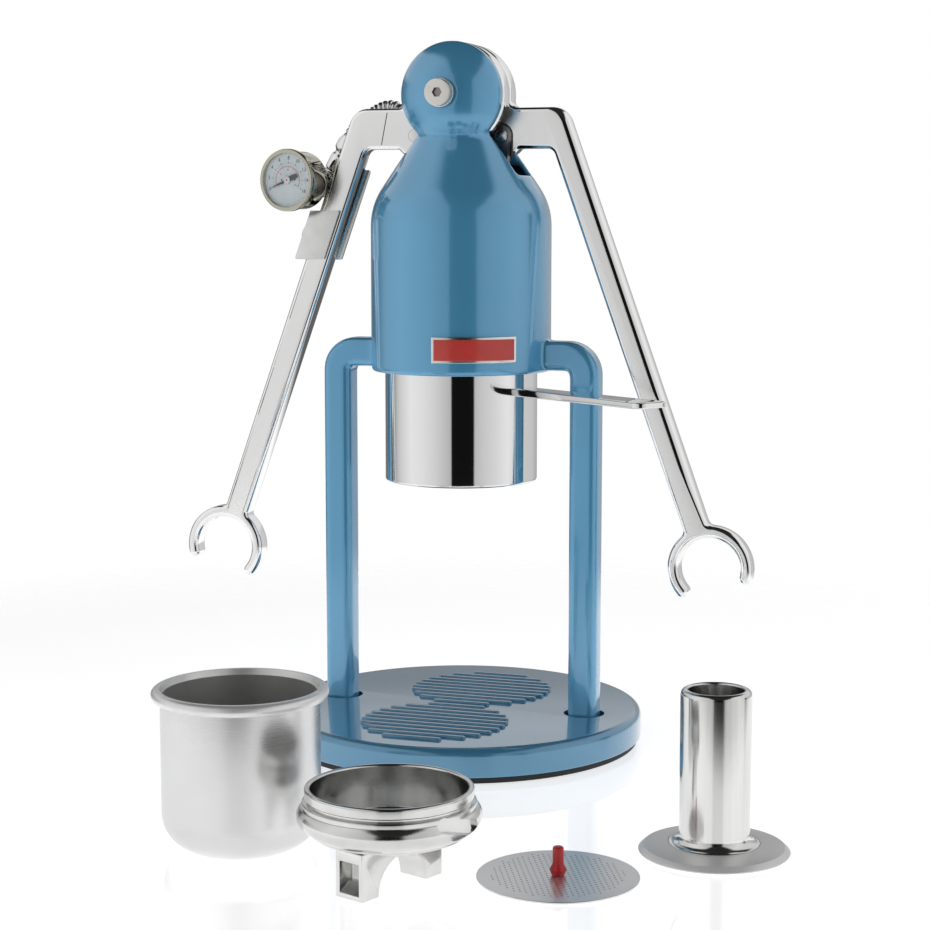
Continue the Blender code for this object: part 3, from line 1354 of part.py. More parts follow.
def make_badge():
    """A plain strip of the ring round the torso, between two upright ends."""
    inner = TORSO_RADIUS + GAP
    outer = inner + BADGE_THICKNESS
    strip = tube(outer, inner, BADGE_BOTTOM, BADGE_BOTTOM + BADGE_HEIGHT)
    badge = turned("badge", strip, FINE_STEPS, "enamel", ring=True)
    rest = [(0, 0)] + arc((0, 0), outer + OVERRUN, BADGE_START + BADGE_SWEEP, BADGE_START + 2 * math.pi)
    height = BADGE_HEIGHT + 2 * OVERRUN
    middle = BADGE_BOTTOM + BADGE_HEIGHT / 2
    cut(badge, plate("badge_rest", [rest], height, None, (0, 0, middle), upright=False))
    return badge


def make_basket():
    """Deep spun cup with a rolled rim and a well rounded bottom."""
    rim = BASKET_RIM_ROUND
    rim_centre = (BASKET_RIM - rim, BASKET_HEIGHT - rim)
    inner = BASKET_RADIUS - BASKET_WALL
    wall_top = BASKET_HEIGHT - 2 * rim
    outer_side = rounded(
        [
            (BASKET_RADIUS, wall_top, 0),
            (BASKET_RADIUS, 0, BASKET_BOTTOM_ROUND),
            (0, 0, 0),
            (0, BASKET_WALL, 0),
            (inner, BASKET_WALL, BASKET_BOTTOM_ROUND - BASKET_WALL),
            (inner, BASKET_HEIGHT - rim, 0),
        ],
        closed=False,
    )
    rolled = arc(rim_centre, rim, math.pi / 2, -math.pi / 2)
    lead = [(inner + BASKET_WALL, BASKET_HEIGHT)]
    profile = lead + rolled + outer_side
    start = profile.index((0, BASKET_WALL))
    profile = profile[start:] + profile[:start]
    place = (BASKET_X, BASKET_Y, 0)
    return turned("basket", profile, ROUND_STEPS, "steel", place)


def make_screen():
    """Flat dispersion screen with a soft grip standing in its centre."""
    place = (SCREEN_X, SCREEN_Y, 0)
    screen = disc("screen", SCREEN_RADIUS, 0, SCREEN_THICKNESS, ROUND_STEPS, "steel", place)
    low = SCREEN_THICKNESS + GAP
    high = low + GRIP_HEIGHT
    profile = rounded(
        [
            (0, high, 0),
            (GRIP_RADIUS, high, GRIP_EDGE),
            (GRIP_RADIUS, low + GRIP_FLARE_HEIGHT, 0),
            (GRIP_COLLAR_RADIUS, low + GRIP_COLLAR_HEIGHT, 0),
            (GRIP_FOOT_RADIUS, low, 0),
            (0, low, 0),
        ],
        closed=False,
    )
    grip = turned("screen_grip", profile, TINY_STEPS, "silicone", place)
    return screen, grip


def make_spout():
    """Shallow bowl with a grooved neck, over two open spouts that stand on the floor."""
    place = (SPOUT_X, SPOUT_Y, 0)
    bore = SPOUT_RIM_RADIUS - SPOUT_WALL
    shoulder = SPOUT_SHOULDER
    groove = shoulder + SPOUT_BEAD
    pan = SPOUT_FLOOR + SPOUT_PAN_THICKNESS
    profile = [(0, pan), (bore, pan), (bore, SPOUT_TOP)]
    profile += rounded(
        [
            (bore, SPOUT_TOP, 0),
            (SPOUT_RIM_RADIUS, SPOUT_TOP, SPOUT_GROOVE),
            (SPOUT_RIM_RADIUS, groove + SPOUT_GROOVE, 0),
            (SPOUT_RIM_RADIUS - SPOUT_GROOVE, groove + SPOUT_GROOVE, 0),
            (SPOUT_RIM_RADIUS - SPOUT_GROOVE, groove, 0),
            (SPOUT_RIM_RADIUS + SPOUT_GROOVE, groove, 0),
            (SPOUT_RIM_RADIUS + SPOUT_GROOVE, shoulder, 0),
        ],
        closed=False,
    )[1:]
    drop = SPOUT_BELLY - SPOUT_FLOOR
    belly = arc((0, 0), SPOUT_BOWL_RADIUS, math.asin((shoulder - SPOUT_BELLY) / drop), -math.pi / 2)
    for x, z in belly[:-1]:
        profile.append((x, SPOUT_BELLY + drop * z / SPOUT_BOWL_RADIUS))
    profile.append((0, SPOUT_FLOOR))
    bowl = turned("spout", profile, ROUND_STEPS, "chrome", place)
    reach = SPOUT_LEG_REACH
    bridge_top = SPOUT_FLOOR + SPOUT_WALL
    outline = [(-reach, bridge_top), (-reach, 0), (-reach + SPOUT_LEG_FOOT, 0)]
    outline += arc((0, 0), SPOUT_ARCH_RADIUS, math.pi, 0)
    outline += [(reach - SPOUT_LEG_FOOT, 0), (reach, 0), (reach, bridge_top)]
    yaw = SPOUT_TURN
    legs = plate("spout_legs", [outline], SPOUT_LEG_WIDTH, None, place, yaw=yaw)
    join(bowl, legs)
    channel_width = SPOUT_LEG_WIDTH - 2 * SPOUT_LEG_WALL
    channel_depth = SPOUT_LEG_FOOT - SPOUT_LEG_WALL
    for side in (-1, 1):
        middle = side * (reach - channel_depth / 2 + OVERRUN / 2)
        height = SPOUT_FLOOR - SPOUT_LEG_WALL
        size = (channel_depth + OVERRUN, channel_width, height - SPOUT_LEG_WALL)
        centre = (
            SPOUT_X + middle * math.cos(yaw),
            SPOUT_Y + middle * math.sin(yaw),
            (height + SPOUT_LEG_WALL) / 2,
        )
        cut(bowl, box("spout_channel", size, centre, (0, 0, yaw)))
    return bowl


def make_tamper():
    """Tamper: bevelled disc and a hollow tube handle on its spigot."""
    place = (TAMPER_X, TAMPER_Y, 0)
    bore = TAMPER_TUBE_RADIUS - TAMPER_TUBE_WALL
    spigot = bore - GAP
    foot = TAMPER_TUBE_RADIUS + TAMPER_FILLET
    disc_top = TAMPER_DISC_HEIGHT
    profile = rounded(
        [
            (0, disc_top + TAMPER_SPIGOT_HEIGHT, 0),
            (spigot, disc_top + TAMPER_SPIGOT_HEIGHT, 0),
            (spigot, disc_top, 0),
            (foot, disc_top, 0),
            (foot + TAMPER_FILLET, disc_top - TAMPER_FILLET / 3, 0),
            (TAMPER_RADIUS - TAMPER_BEVEL, TAMPER_EDGE_HEIGHT + TAMPER_BEVEL / 2, 0),
            (TAMPER_RADIUS, TAMPER_EDGE_HEIGHT - TAMPER_BEVEL / 2, 0),
            (TAMPER_RADIUS, 0, 0),
            (0, 0, 0),
        ],
        closed=False,
    )
    base = turned("tamper_base", profile, ROUND_STEPS, "steel", place)
    low = disc_top + GAP
    walls = rounded(
        [
            (bore, TAMPER_HEIGHT, 0),
            (TAMPER_TUBE_RADIUS, TAMPER_HEIGHT, TAMPER_TUBE_EDGE),
            (TAMPER_TUBE_RADIUS, low + TAMPER_FILLET, 0),
            (foot, low, 0),
            (bore, low, 0),
        ],
        closed=False,
    )
    handle = turned("tamper_handle", walls, ROUND_STEPS, "steel", place, ring=True)
    return base, handle


def build():
    """Makes every piece and parents the moving ones to empties on their joints."""
    make_base()
    make_body()
    make_axle()
    make_group()
    hub = (0, 0, HEAD_HEIGHT)
    right_axis, left_axis = carrier("right_arm_axis", hub), carrier("left_arm_axis", hub)
    carry(right_axis, make_arm("right_arm", 1), make_link_pin("right_link_pin", 1))
    carry(left_axis, make_arm("left_arm", -1), make_link_pin("left_link_pin", -1))
    for name, side in (("right_link", 1), ("left_link", -1)):
        make_link(name, side)
    rod_axis = carrier("piston_axis", (0, 0, CLEVIS_HEIGHT))
    carry(rod_axis, *make_piston())
    portafilter_axis = carrier("portafilter_axis", (0, 0, PORTAFILTER_BOTTOM))
    carry(portafilter_axis, *make_portafilter())
    gauge, needle, block = make_gauge()
    hose, ferrule, tail = make_hose()
    carry(left_axis, *gauge, block, *make_bracket(), hose, ferrule)
    carry(rod_axis, tail)
    carry(carrier("needle_axis", gauge_point(0)), needle)
    make_badge()
    make_basket()
    make_screen()
    make_spout()
    make_tamper()


PART, CUTTERS = clear_scene()
build()
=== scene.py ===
from math import acos, asin, atan2, ceil, cos, hypot, pi, sin, sqrt, tan

import bmesh
import bpy
from mathutils import Matrix, Vector


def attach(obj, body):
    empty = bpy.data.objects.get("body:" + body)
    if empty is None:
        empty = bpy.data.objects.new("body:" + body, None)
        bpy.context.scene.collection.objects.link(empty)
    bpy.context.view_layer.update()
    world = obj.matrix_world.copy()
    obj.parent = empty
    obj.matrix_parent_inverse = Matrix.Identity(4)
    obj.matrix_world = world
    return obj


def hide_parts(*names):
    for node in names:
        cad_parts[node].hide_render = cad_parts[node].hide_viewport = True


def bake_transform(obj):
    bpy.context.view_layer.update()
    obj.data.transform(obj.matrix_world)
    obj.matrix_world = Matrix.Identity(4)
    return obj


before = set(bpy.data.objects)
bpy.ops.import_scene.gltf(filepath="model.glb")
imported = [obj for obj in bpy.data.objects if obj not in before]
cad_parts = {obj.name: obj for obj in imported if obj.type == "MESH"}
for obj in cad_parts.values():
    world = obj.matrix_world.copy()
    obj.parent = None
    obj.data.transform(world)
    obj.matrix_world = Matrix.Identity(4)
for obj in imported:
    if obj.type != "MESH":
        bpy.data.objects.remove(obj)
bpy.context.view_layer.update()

MM = 0.001
DEG = pi / 180
HERE = (0, 0, 0)
FORWARD = (pi / 2, 0, 0)
MERGE = 0.005 * MM
OVERRUN = 5 * MM
GAP = 0.3 * MM
FINE_STEPS = 160
ROUND_STEPS = 128
SMALL_STEPS = 64
TINY_EDGE = 0.2 * MM
FINE_EDGE = 0.3 * MM
SMALL_EDGE = 0.4 * MM
CHORD_ERROR = 0.01 * MM
COARSEST_STEP = 12 * DEG
SHARP = 32 * DEG
FLAT = 0.2 * DEG

# The photograph's camera, as calibrated on it
CAMERA_PLACE = (305.5 * MM, -896.8 * MM, 246.0 * MM)
CAMERA_FORWARD = (-0.3183, 0.9400, -0.1232)
IMAGE_WIDTH = 930
FOCAL_PIXELS = 2060.2
SENSOR = 36.0
CLIP_START = 0.01


# ---- mesh helpers


def put(thing, **values):
    """Sets several properties of a thing, in order."""
    for key, value in values.items():
        setattr(thing, key, value)
    return thing


def modify(thing, kind, **values):
    """Adds a modifier with its settings."""
    put(thing.modifiers.new(kind.lower(), kind), **values)


def add(name, data, finish, place=HERE, turn=HERE):
    """Links mesh or curve data as an object with one finish."""
    made = put(bpy.data.objects.new(name, data), location=place, rotation_euler=turn)
    bpy.context.scene.collection.objects.link(made)
    if finish:
        data.materials.append(finish)
    return made


def built(name, work, finish=None, place=HERE, turn=HERE):
    """Makes an object of a bmesh, which is freed."""
    mesh = bpy.data.meshes.new(name)
    work.to_mesh(mesh)
    work.free()
    return add(name, mesh, finish, place, turn)


def loft(name, rings, finish):
    """A closed skin over rings of points, in order."""
    work = bmesh.new()
    rings = [[work.verts.new(point) for point in ring] for ring in rings]
    for first, second in zip(rings, rings[1:]):
        for index in range(len(first)):
            after = (index + 1) % len(first)
            work.faces.new((first[index], first[after], second[after], second[index]))
    work.faces.new(rings[0])
    work.faces.new(list(reversed(rings[-1])))
    bmesh.ops.recalc_face_normals(work, faces=work.faces)
    return built(name, work, finish)


def apply(thing):
    """Makes an object's modifiers and its curve form permanent, and keeps its place."""
    bpy.context.view_layer.update()
    graph = bpy.context.evaluated_depsgraph_get()
    mesh = bpy.data.meshes.new_from_object(thing.evaluated_get(graph))
    name, world = thing.name, thing.matrix_world.copy()
    finishes = [material for material in thing.data.materials if material]
    bpy.data.objects.remove(thing, do_unlink=True)
    mesh.materials.clear()
    made = add(name, mesh, None)
    for material in finishes:
        mesh.materials.append(material)
    made.matrix_world = world
    return made


def weld(mesh, flat=False):
    """Joins doubled vertices, and makes each flat face one polygon if asked."""
    work = bmesh.new()
    work.from_mesh(mesh)
    bmesh.ops.remove_doubles(work, verts=work.verts, dist=MERGE)
    if flat:
        bmesh.ops.dissolve_limit(work, angle_limit=FLAT, verts=work.verts, edges=work.edges)
    bmesh.ops.recalc_face_normals(work, faces=work.faces)
    work.to_mesh(mesh)
    work.free()


def smooth(thing, angle=SHARP):
    thing.data.shade_smooth()
    thing.data.set_sharp_from_angle(angle=angle)
    return thing


def arc(centre, radius, start, end):
    """Points of an arc, both ends included."""
    step = min(COARSEST_STEP, 2 * acos(1 - min(1, CHORD_ERROR / radius)))
    count = max(2, ceil(abs(end - start) / step))
    points = []
    for index in range(count + 1):
        angle = start + (end - start) * index / count
        points.append((centre[0] + radius * cos(angle), centre[1] + radius * sin(angle)))
    return points


def rounded(corners, closed=True):
    """An outline whose corners (x, y, radius) are rounded by tangent arcs."""
    points = []
    count = len(corners)
    for index, (x, y, radius) in enumerate(corners):
        here = Vector((x, y))
        if not radius or not (closed or 0 < index < count - 1):
            points.append((x, y))
            continue
        before = (Vector(corners[index - 1][:2]) - here).normalized()
        after = (Vector(corners[(index + 1) % count][:2]) - here).normalized()
        half = before.angle(after) / 2
        centre = here + (before + after).normalized() * (radius / sin(half))
        reach = radius / tan(half)
        first, last = here + before * reach - centre, here + after * reach - centre
        start = atan2(first.y, first.x)
        sweep = (atan2(last.y, last.x) - start + pi) % (2 * pi) - pi
        points += arc(centre, radius, start, start + sweep)
    return points


def turned(name, profile, finish, place=HERE, turn=HERE, ring=False, steps=ROUND_STEPS):
    """A turned piece of points (radius, height) or corners (radius, height, round), outer side downwards."""
    if len(profile[0]) == 3:
        profile = rounded(profile, closed=ring)
    mesh = bpy.data.meshes.new(name)
    count = len(profile)
    edges = [(index, index + 1) for index in range(count - 1)]
    if ring:
        edges.append((count - 1, 0))
    mesh.from_pydata([(radius, 0, height) for radius, height in profile], edges, [])
    made = add(name, mesh, finish, place, turn)
    modify(
        made, "SCREW", angle=2 * pi, steps=steps, render_steps=steps, use_merge_vertices=True,
        merge_threshold=MERGE,
    )
    made = apply(made)
    weld(made.data)
    return smooth(made)


def curve(name, route, closed, **values):
    """A curve of straight runs through points (x, y, z)."""
    data = put(bpy.data.curves.new(name, "CURVE"), **values)
    line = data.splines.new("POLY")
    line.points.add(len(route) - 1)
    for point, place in zip(line.points, route):
        point.co = (*place, 1)
    line.use_cyclic_u = closed
    return data


def plate(name, outline, thickness, finish, place=HERE, turn=FORWARD):
    """A flat piece from a closed outline of points (x, y) or corners (x, y, round)."""
    if len(outline[0]) == 3:
        outline = rounded(outline)
    route = [(x, y, 0) for x, y in outline]
    data = curve(name, route, True, dimensions="2D", fill_mode="BOTH", extrude=thickness / 2)
    made = apply(add(name, data, finish, place, turn))
    weld(made.data, True)
    return smooth(made)


def soften(thing, width, segments=4, angle=60 * DEG):
    """Rounds an object's sharp edges for good."""
    modify(thing, "BEVEL", width=width, segments=segments, limit_method="ANGLE", angle_limit=angle)
    return smooth(apply(thing))


def combine(thing, others, operation):
    """An exact Boolean with other objects, which are then removed."""
    for other in others:
        modify(thing, "BOOLEAN", operation=operation, solver="EXACT", object=other)
    made = apply(thing)
    for other in others:
        bpy.data.objects.remove(other, do_unlink=True)
    return made


def block(name, size, centre, turn=HERE, finish=None):
    work = bmesh.new()
    bmesh.ops.create_cube(work, size=1)
    bmesh.ops.scale(work, vec=size, verts=work.verts)
    return built(name, work, finish, centre, turn)


def disc(radius, top, bottom, upper=0, lower=0):
    """Profile of a solid disc with rounded upper and lower edges."""
    return [(0, top, 0), (radius, top, upper), (radius, bottom, lower), (0, bottom, 0)]


def rod(name, radius, low, high, finish=None, place=HERE, turn=HERE, steps=SMALL_STEPS):
    """A plain cylinder between two heights of its own axis."""
    return turned(name, disc(radius, high, low), finish, place, turn, steps=steps)


def remesh(thing, voxel, rounds):
    """Melts a joined solid into one skin, and relaxes it so that its inner corners blend."""
    modify(thing, "REMESH", mode="VOXEL", voxel_size=voxel)
    modify(thing, "SMOOTH", factor=0.5, iterations=rounds)
    made = apply(thing)
    made.data.shade_smooth()
    return made


def fit(thing, body, slot, *nodes):
    """Rides a piece on a body in place of CAD nodes; its slot argument is not used."""
    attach(thing, body)
    if nodes:
        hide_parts(*nodes)
    return thing


# ---- materials

BLUES = ((0.105, 0.41, 0.69), (0.11, 0.42, 0.70), (0.115, 0.43, 0.71))
SKIN_DEPTH = 0.2 * MM
LINE_DEPTH = 0.04 * MM


class Tree:
    """Short calls for the nodes of a material or the world."""

    def __init__(self, tree):
        self.nodes, self.links = tree.nodes, tree.links

    def node(self, kind, **values):
        return put(self.nodes.new(kind), **values)

    def fill(self, socket, value):
        """Sets a socket to a number or a colour, or links it to another socket."""
        if isinstance(value, tuple):
            socket.default_value = (*value, 1.0)
        elif isinstance(value, (int, float)):
            socket.default_value = value
        else:
            self.links.new(value, socket)

    def made(self, kind, output, inputs, **values):
        """An output of a new node whose inputs are filled."""
        node = self.node(kind, **values)
        for name, value in inputs.items():
            self.fill(node.inputs[name], value)
        return node.outputs[output]

    def noise(self, vector, scale, detail=3.0, roughness=0.5):
        inputs = {"Scale": scale, "Detail": detail, "Roughness": roughness, "Vector": vector}
        return self.made("ShaderNodeTexNoise", "Fac", inputs)

    def span(self, value, low, high, start=0.0, end=1.0, kind="LINEAR"):
        """Maps a value from start..end to low..high."""
        inputs = {"From Min": start, "From Max": end, "To Min": low, "To Max": high, "Value": value}
        return self.made("ShaderNodeMapRange", "Result", inputs, interpolation_type=kind)

    def mix(self, factor, first, second, blend="MIX"):
        """A colour between two colours."""
        inputs = {"Factor": factor, "A": first, "B": second}
        return self.made("ShaderNodeMix", "Result", inputs, data_type="RGBA", blend_type=blend)

    def math(self, operation, *values):
        return self.made("ShaderNodeMath", "Value", dict(enumerate(values)), operation=operation)

    def split(self, vector):
        node = self.node("ShaderNodeSeparateXYZ")
        self.fill(node.inputs["Vector"], vector)
        return [node.outputs[axis] for axis in "XYZ"]

    def shader(self, factor, first, second):
        return self.made("ShaderNodeMixShader", "Shader", {"Fac": factor, 1: first, 2: second})


class Finish(Tree):
    """A Principled material."""

    def __init__(self, name, colour, roughness, metallic=0.0):
        self.material = bpy.data.materials.new(name)
        self.material.use_nodes = True
        super().__init__(self.material.node_tree)
        self.principled = self.nodes["Principled BSDF"]
        self.set("Base Color", colour)
        self.set("Roughness", roughness)
        self.set("Metallic", metallic)
        self.material.diffuse_color = (*colour, 1.0)

    def set(self, socket, value):
        self.fill(self.principled.inputs[socket], value)

    def coordinates(self, scale=(1, 1, 1)):
        """The object's own coordinates, in metres, scaled."""
        mapping = self.node("ShaderNodeMapping")
        mapping.inputs["Scale"].default_value = scale
        self.fill(mapping.inputs["Vector"], self.node("ShaderNodeTexCoord").outputs["Object"])
        return mapping.outputs["Vector"]

    def bump(self, height, strength, distance):
        inputs = {"Strength": strength, "Distance": distance, "Height": height}
        self.set("Normal", self.made("ShaderNodeBump", "Normal", inputs))


def mottled(finish, low, high, rough_low, rough_high, scale, grain, strength):
    """Slow colour drift, roughness drift and a fine skin on a finish."""
    place = finish.coordinates()
    finish.set("Base Color", finish.mix(finish.noise(place, scale, 2.0), low, high))
    finish.set("Roughness", finish.span(finish.noise(place, scale * 4), rough_low, rough_high))
    finish.bump(finish.noise(place, grain, 4.0), strength, SKIN_DEPTH)
    return finish


def paint(name="blue_enamel", share=1.0):
    """Glossy blue enamel with a faint orange peel, at a share of its brightness; a share below one makes a darker
    copy as painted shade.
    """
    low, middle, high = (tuple(share * part for part in shade) for shade in BLUES)
    made = mottled(Finish(name, middle, 0.2, 0.25), low, high, 0.17, 0.23, 25.0, 420.0, 0.02)
    for socket, value in (("Coat Weight", 1.0), ("Coat Roughness", 0.03), ("Coat IOR", 1.6)):
        made.set(socket, value)
    return made.material


def dimmed(colour, share):
    return tuple(part * share for part in colour)


def chrome(name="polished_chrome", colour=(0.86, 0.86, 0.86), low=0.03, high=0.07):
    made = Finish(name, colour, low, 1.0)
    return mottled(made, dimmed(colour, 0.97), colour, low, high, 90.0, 300.0, 0.01).material


def lathe_steel(name, colour, low, high):
    """Steel with fine lines round the piece's own axis."""
    made = Finish(name, colour, low, 1.0)
    place = made.coordinates()
    x, y, z = made.split(place)
    across = made.math("SQRT", made.math("ADD", made.math("MULTIPLY", x, x), made.math("MULTIPLY", y, y)))
    lines = made.noise(made.made("ShaderNodeCombineXYZ", "Vector", {"X": across, "Y": z}), 2600.0, 3.0, 0.6)
    shade = made.math("MULTIPLY", made.span(lines, 0.94, 1.04), made.span(made.noise(place, 70.0, 3.0), 0.95, 1.05))
    made.set("Base Color", made.mix(1.0, colour, shade, "MULTIPLY"))
    made.set("Roughness", made.span(lines, low, high))
    made.bump(lines, 0.12, LINE_DEPTH)
    made.set("Anisotropic", 0.6)
    made.set("Tangent", made.node("ShaderNodeTangent", direction_type="RADIAL", axis="Z").outputs["Tangent"])
    return made.material


def drawn_steel(name, colour, low, high):
    """Steel with fine streaks along the piece's own axis."""
    made = Finish(name, colour, low, 1.0)
    streaks = made.noise(made.coordinates((900, 900, 14)), 1.0, 3.0, 0.6)
    made.set("Base Color", made.mix(streaks, dimmed(colour, 0.86), colour))
    made.set("Roughness", made.span(streaks, low, high))
    made.bump(streaks, 0.06, LINE_DEPTH)
    return made.material


def plain(name, colour, roughness, metallic=0.0, strength=0.08, spread=0.12):
    """A simple finish with drift, grain and varied roughness."""
    low, high = dimmed(colour, 1 - spread), tuple(min(1, part * (1 + spread)) for part in colour)
    made = Finish(name, colour, roughness, metallic)
    return mottled(made, low, high, roughness * 0.85, roughness * 1.15, 120.0, 700.0, strength).material


def satin_faced(name, colour, polished, satin):
    """Polished metal whose flat front and rear faces are satin."""
    made = Finish(name, colour, polished, 1.0)
    place = made.coordinates()
    made.set("Base Color", made.mix(made.noise(place, 90.0, 2.0), dimmed(colour, 0.97), colour))
    _, y, _ = made.split(made.node("ShaderNodeNewGeometry").outputs["True Normal"])
    facing = made.span(made.math("ABSOLUTE", y), polished, satin, 0.995, 0.999)
    made.set("Roughness", made.math("MULTIPLY", facing, made.span(made.noise(place, 360.0), 0.85, 1.15)))
    made.bump(made.noise(place, 300.0, 4.0), 0.01, SKIN_DEPTH)
    return made.material


def floor_material():
    """Pale floor with a faint reflection, which fades out into the backdrop."""
    made = Finish("pale_floor", (0.93, 0.93, 0.935), 0.03)
    for socket, value in (("Emission Color", (1.0, 1.0, 1.0)), ("Emission Strength", 0.63), ("IOR", 1.65)):
        made.set(socket, value)
    place = made.coordinates()
    made.set("Roughness", made.span(made.noise(place, 30.0, 2.0), 0.02, 0.05))
    length = made.made("ShaderNodeVectorMath", "Value", {0: place}, operation="LENGTH")
    fade = made.span(length, 0.0, 1.0, FLOOR_FADE_START, FLOOR_FADE_END)
    clear = made.node("ShaderNodeBsdfTransparent").outputs["BSDF"]
    blend = made.shader(fade, made.principled.outputs["BSDF"], clear)
    made.fill(made.nodes["Material Output"].inputs["Surface"], blend)
    return made.material


# ---- studio

FLOOR_RADIUS = 2.4
FLOOR_SIDES = 96
FLOOR_SINK = 0.2 * MM
FLOOR_FADE_START = 0.35
FLOOR_FADE_END = 0.52
CAMERA_AZIMUTH = -71.2 * DEG
EDGE_SOFTNESS = 0.05
OVERHEAD = 0.02
# Brightness round the horizon by degrees from the camera: below it, near it and above it
FRONT_WALLS = (
    (-82, 0.90), (-60, 0.84), (-40, 0.72), (-21, 0.56), (-15.5, 0.50), (-14.5, 0.006), (19.0, 0.006), (20.0, 0.56),
    (34, 0.66), (53, 0.76), (75, 0.90),
)
UNDER_WALLS = ((-180, 0.12), (-112, 0.12), (-100, 0.62), *FRONT_WALLS, (95, 0.60), (110, 0.12), (180, 0.12))
NEAR_WALLS = (
    (-180, 0.30), (-165, 0.22), (-150, 0.06), (-127, 0.14), (-114, 0.55), (-106, 0.68), *FRONT_WALLS, (87, 0.80),
    (94, 0.70), (98, 0.08), (103, 0.08), (108, 0.66), (135, 0.62), (165, 0.40), (180, 0.30),
)
UPPER_WALLS = ((-180, 0.75), (-120, 0.72), *FRONT_WALLS, (110, 0.80), (180, 0.75))
UNDER_EDGE = (-15 * DEG, -10 * DEG)
UPPER_EDGE = (10 * DEG, 17 * DEG)
# Height in degrees of the walls' upper edge, by degrees from the camera
EDGES = (
    (-180, 26), (-150, 32), (-130, 44), (-109, 56), (-82, 62), (-60, 63), (-46, 60), (-37, 56), (-26, 46), (-16, 33),
    (10, 24), (20, 27), (29, 34), (45, 46), (70, 56), (90, 60), (115, 56), (135, 44), (155, 32), (180, 26),
)


def make_camera():
    lens = SENSOR * FOCAL_PIXELS / IMAGE_WIDTH
    data = bpy.data.cameras.new("photo_camera")
    put(data, sensor_fit="HORIZONTAL", sensor_width=SENSOR, lens=lens, clip_start=CLIP_START)
    turn = Vector(CAMERA_FORWARD).to_track_quat("-Z", "Y").to_euler()
    bpy.context.scene.camera = add("photo_camera", data, None, CAMERA_PLACE, turn)


def make_world():
    """Two broad lit walls with round-topped edges, a dark gap between them and a dark ceiling; white to the eye."""
    world = bpy.data.worlds.new("studio")
    bpy.context.scene.world = world
    world.use_nodes = True
    tree = Tree(world.node_tree)
    tree.nodes.clear()
    place = tree.node("ShaderNodeTexCoord").outputs["Generated"]
    inputs = {"Vector": place, "Angle": -CAMERA_AZIMUTH}
    x, y, height = tree.split(tree.made("ShaderNodeVectorRotate", "Vector", inputs, rotation_type="Z_AXIS"))
    share = tree.span(tree.math("ARCTAN2", y, x), 0.0, 1.0, -pi, pi)

    def ramp(stops):
        made = tree.node("ShaderNodeValToRGB")
        elements = made.color_ramp.elements
        while len(elements) < len(stops):
            elements.new(0.5)
        for element, (angle, value) in zip(elements, stops):
            element.position = (angle + 180) / 360
            element.color = (value, value, value, 1)
        tree.fill(made.inputs["Fac"], share)
        return made.outputs["Color"]

    walls = ramp(UNDER_WALLS)
    for stops, (low, high) in ((NEAR_WALLS, UNDER_EDGE), (UPPER_WALLS, UPPER_EDGE)):
        step = tree.span(height, 0.0, 1.0, sin(low), sin(high), "SMOOTHSTEP")
        walls = tree.mix(step, walls, ramp(stops))
    edge = ramp([(angle, sin(rise * DEG)) for angle, rise in EDGES])
    mask = tree.span(tree.math("SUBTRACT", height, edge), 0.0, 1.0, -EDGE_SOFTNESS, EDGE_SOFTNESS, "SMOOTHSTEP")
    sky = tree.mix(mask, walls, (OVERHEAD, OVERHEAD, OVERHEAD))
    lit, white = (tree.made("ShaderNodeBackground", "Background", {"Color": colour}) for colour in (sky, (1, 1, 1)))
    seen = tree.node("ShaderNodeLightPath").outputs["Is Camera Ray"]
    tree.fill(tree.node("ShaderNodeOutputWorld").inputs["Surface"], tree.shader(seen, lit, white))


def make_studio():
    make_camera()
    make_world()
    bpy.context.scene.view_settings.view_transform = "Standard"
    work = bmesh.new()
    bmesh.ops.create_circle(work, cap_ends=True, segments=FLOOR_SIDES, radius=FLOOR_RADIUS)
    built("floor", work, floor_material(), (0, 0, -FLOOR_SINK))


# ---- the machine's casting

TORSO_RADIUS = 41.3 * MM
TORSO_WALL = 2.8 * MM
TORSO_BOTTOM = 172.3 * MM
TORSO_EDGE = 1.7 * MM
SHOULDER_CORNER = 247.6 * MM
SHOULDER_ROUND = 30.0 * MM
SHOULDER_SLOPE = 0.658
SHOULDER_WALL = 2.8 * MM
NECK_TOP = 288.0 * MM
CAVITY_TOP = 266.0 * MM
SLOT_HALF = 9.9 * MM
SLOT_FLOOR = 261.2 * MM
HEAD_Z = 297.0 * MM
HEAD = (0, 0, HEAD_Z)
HEAD_RADIUS = 23.6 * MM
CHEEK_FRONT = 15.5 * MM
DOME_TILT = 55.7 * DEG
NUT_SEAT = 7.0 * MM
REAR_RADIUS = 20.5 * MM
REAR_BACK = 19.1 * MM
REAR_EDGE = 3 * MM
AXLE_BORE = 5.3 * MM
LEG_X = 59.75 * MM
LEG_WIDTH = 13.5 * MM
LEG_CORNER = 3.3 * MM
LEG_BEND = 8.5 * MM
LEG_Z = 180.15 * MM
LEG_FOOT = 8.3 * MM
MELT_VOXEL = 0.75 * MM
MELT_ROUNDS = 22


def make_leg(side):
    """A rounded square bar from the torso round its bend to the foot."""
    half = LEG_WIDTH / 2
    outline = rounded([(x * half, z * half, LEG_CORNER) for x, z in ((1, 1), (-1, 1), (-1, -1), (1, -1))])
    section = curve("leg_section", [(x, y, 0) for x, y in outline], True, dimensions="2D")
    guide = add("leg_section", section, None)
    start = TORSO_RADIUS - TORSO_WALL / 2
    corners = [(start, LEG_Z, 0), (LEG_X, LEG_Z, LEG_BEND), (LEG_X, LEG_FOOT, 0)]
    route = [(side * x, 0, z) for x, z in rounded(corners, closed=False)]
    path = curve(
        "leg_path", route, False, dimensions="3D", bevel_mode="OBJECT", bevel_object=guide, use_fill_caps=True
    )
    made = apply(add("leg", path, None))
    weld(made.data)
    bpy.data.objects.remove(guide, do_unlink=True)
    return made


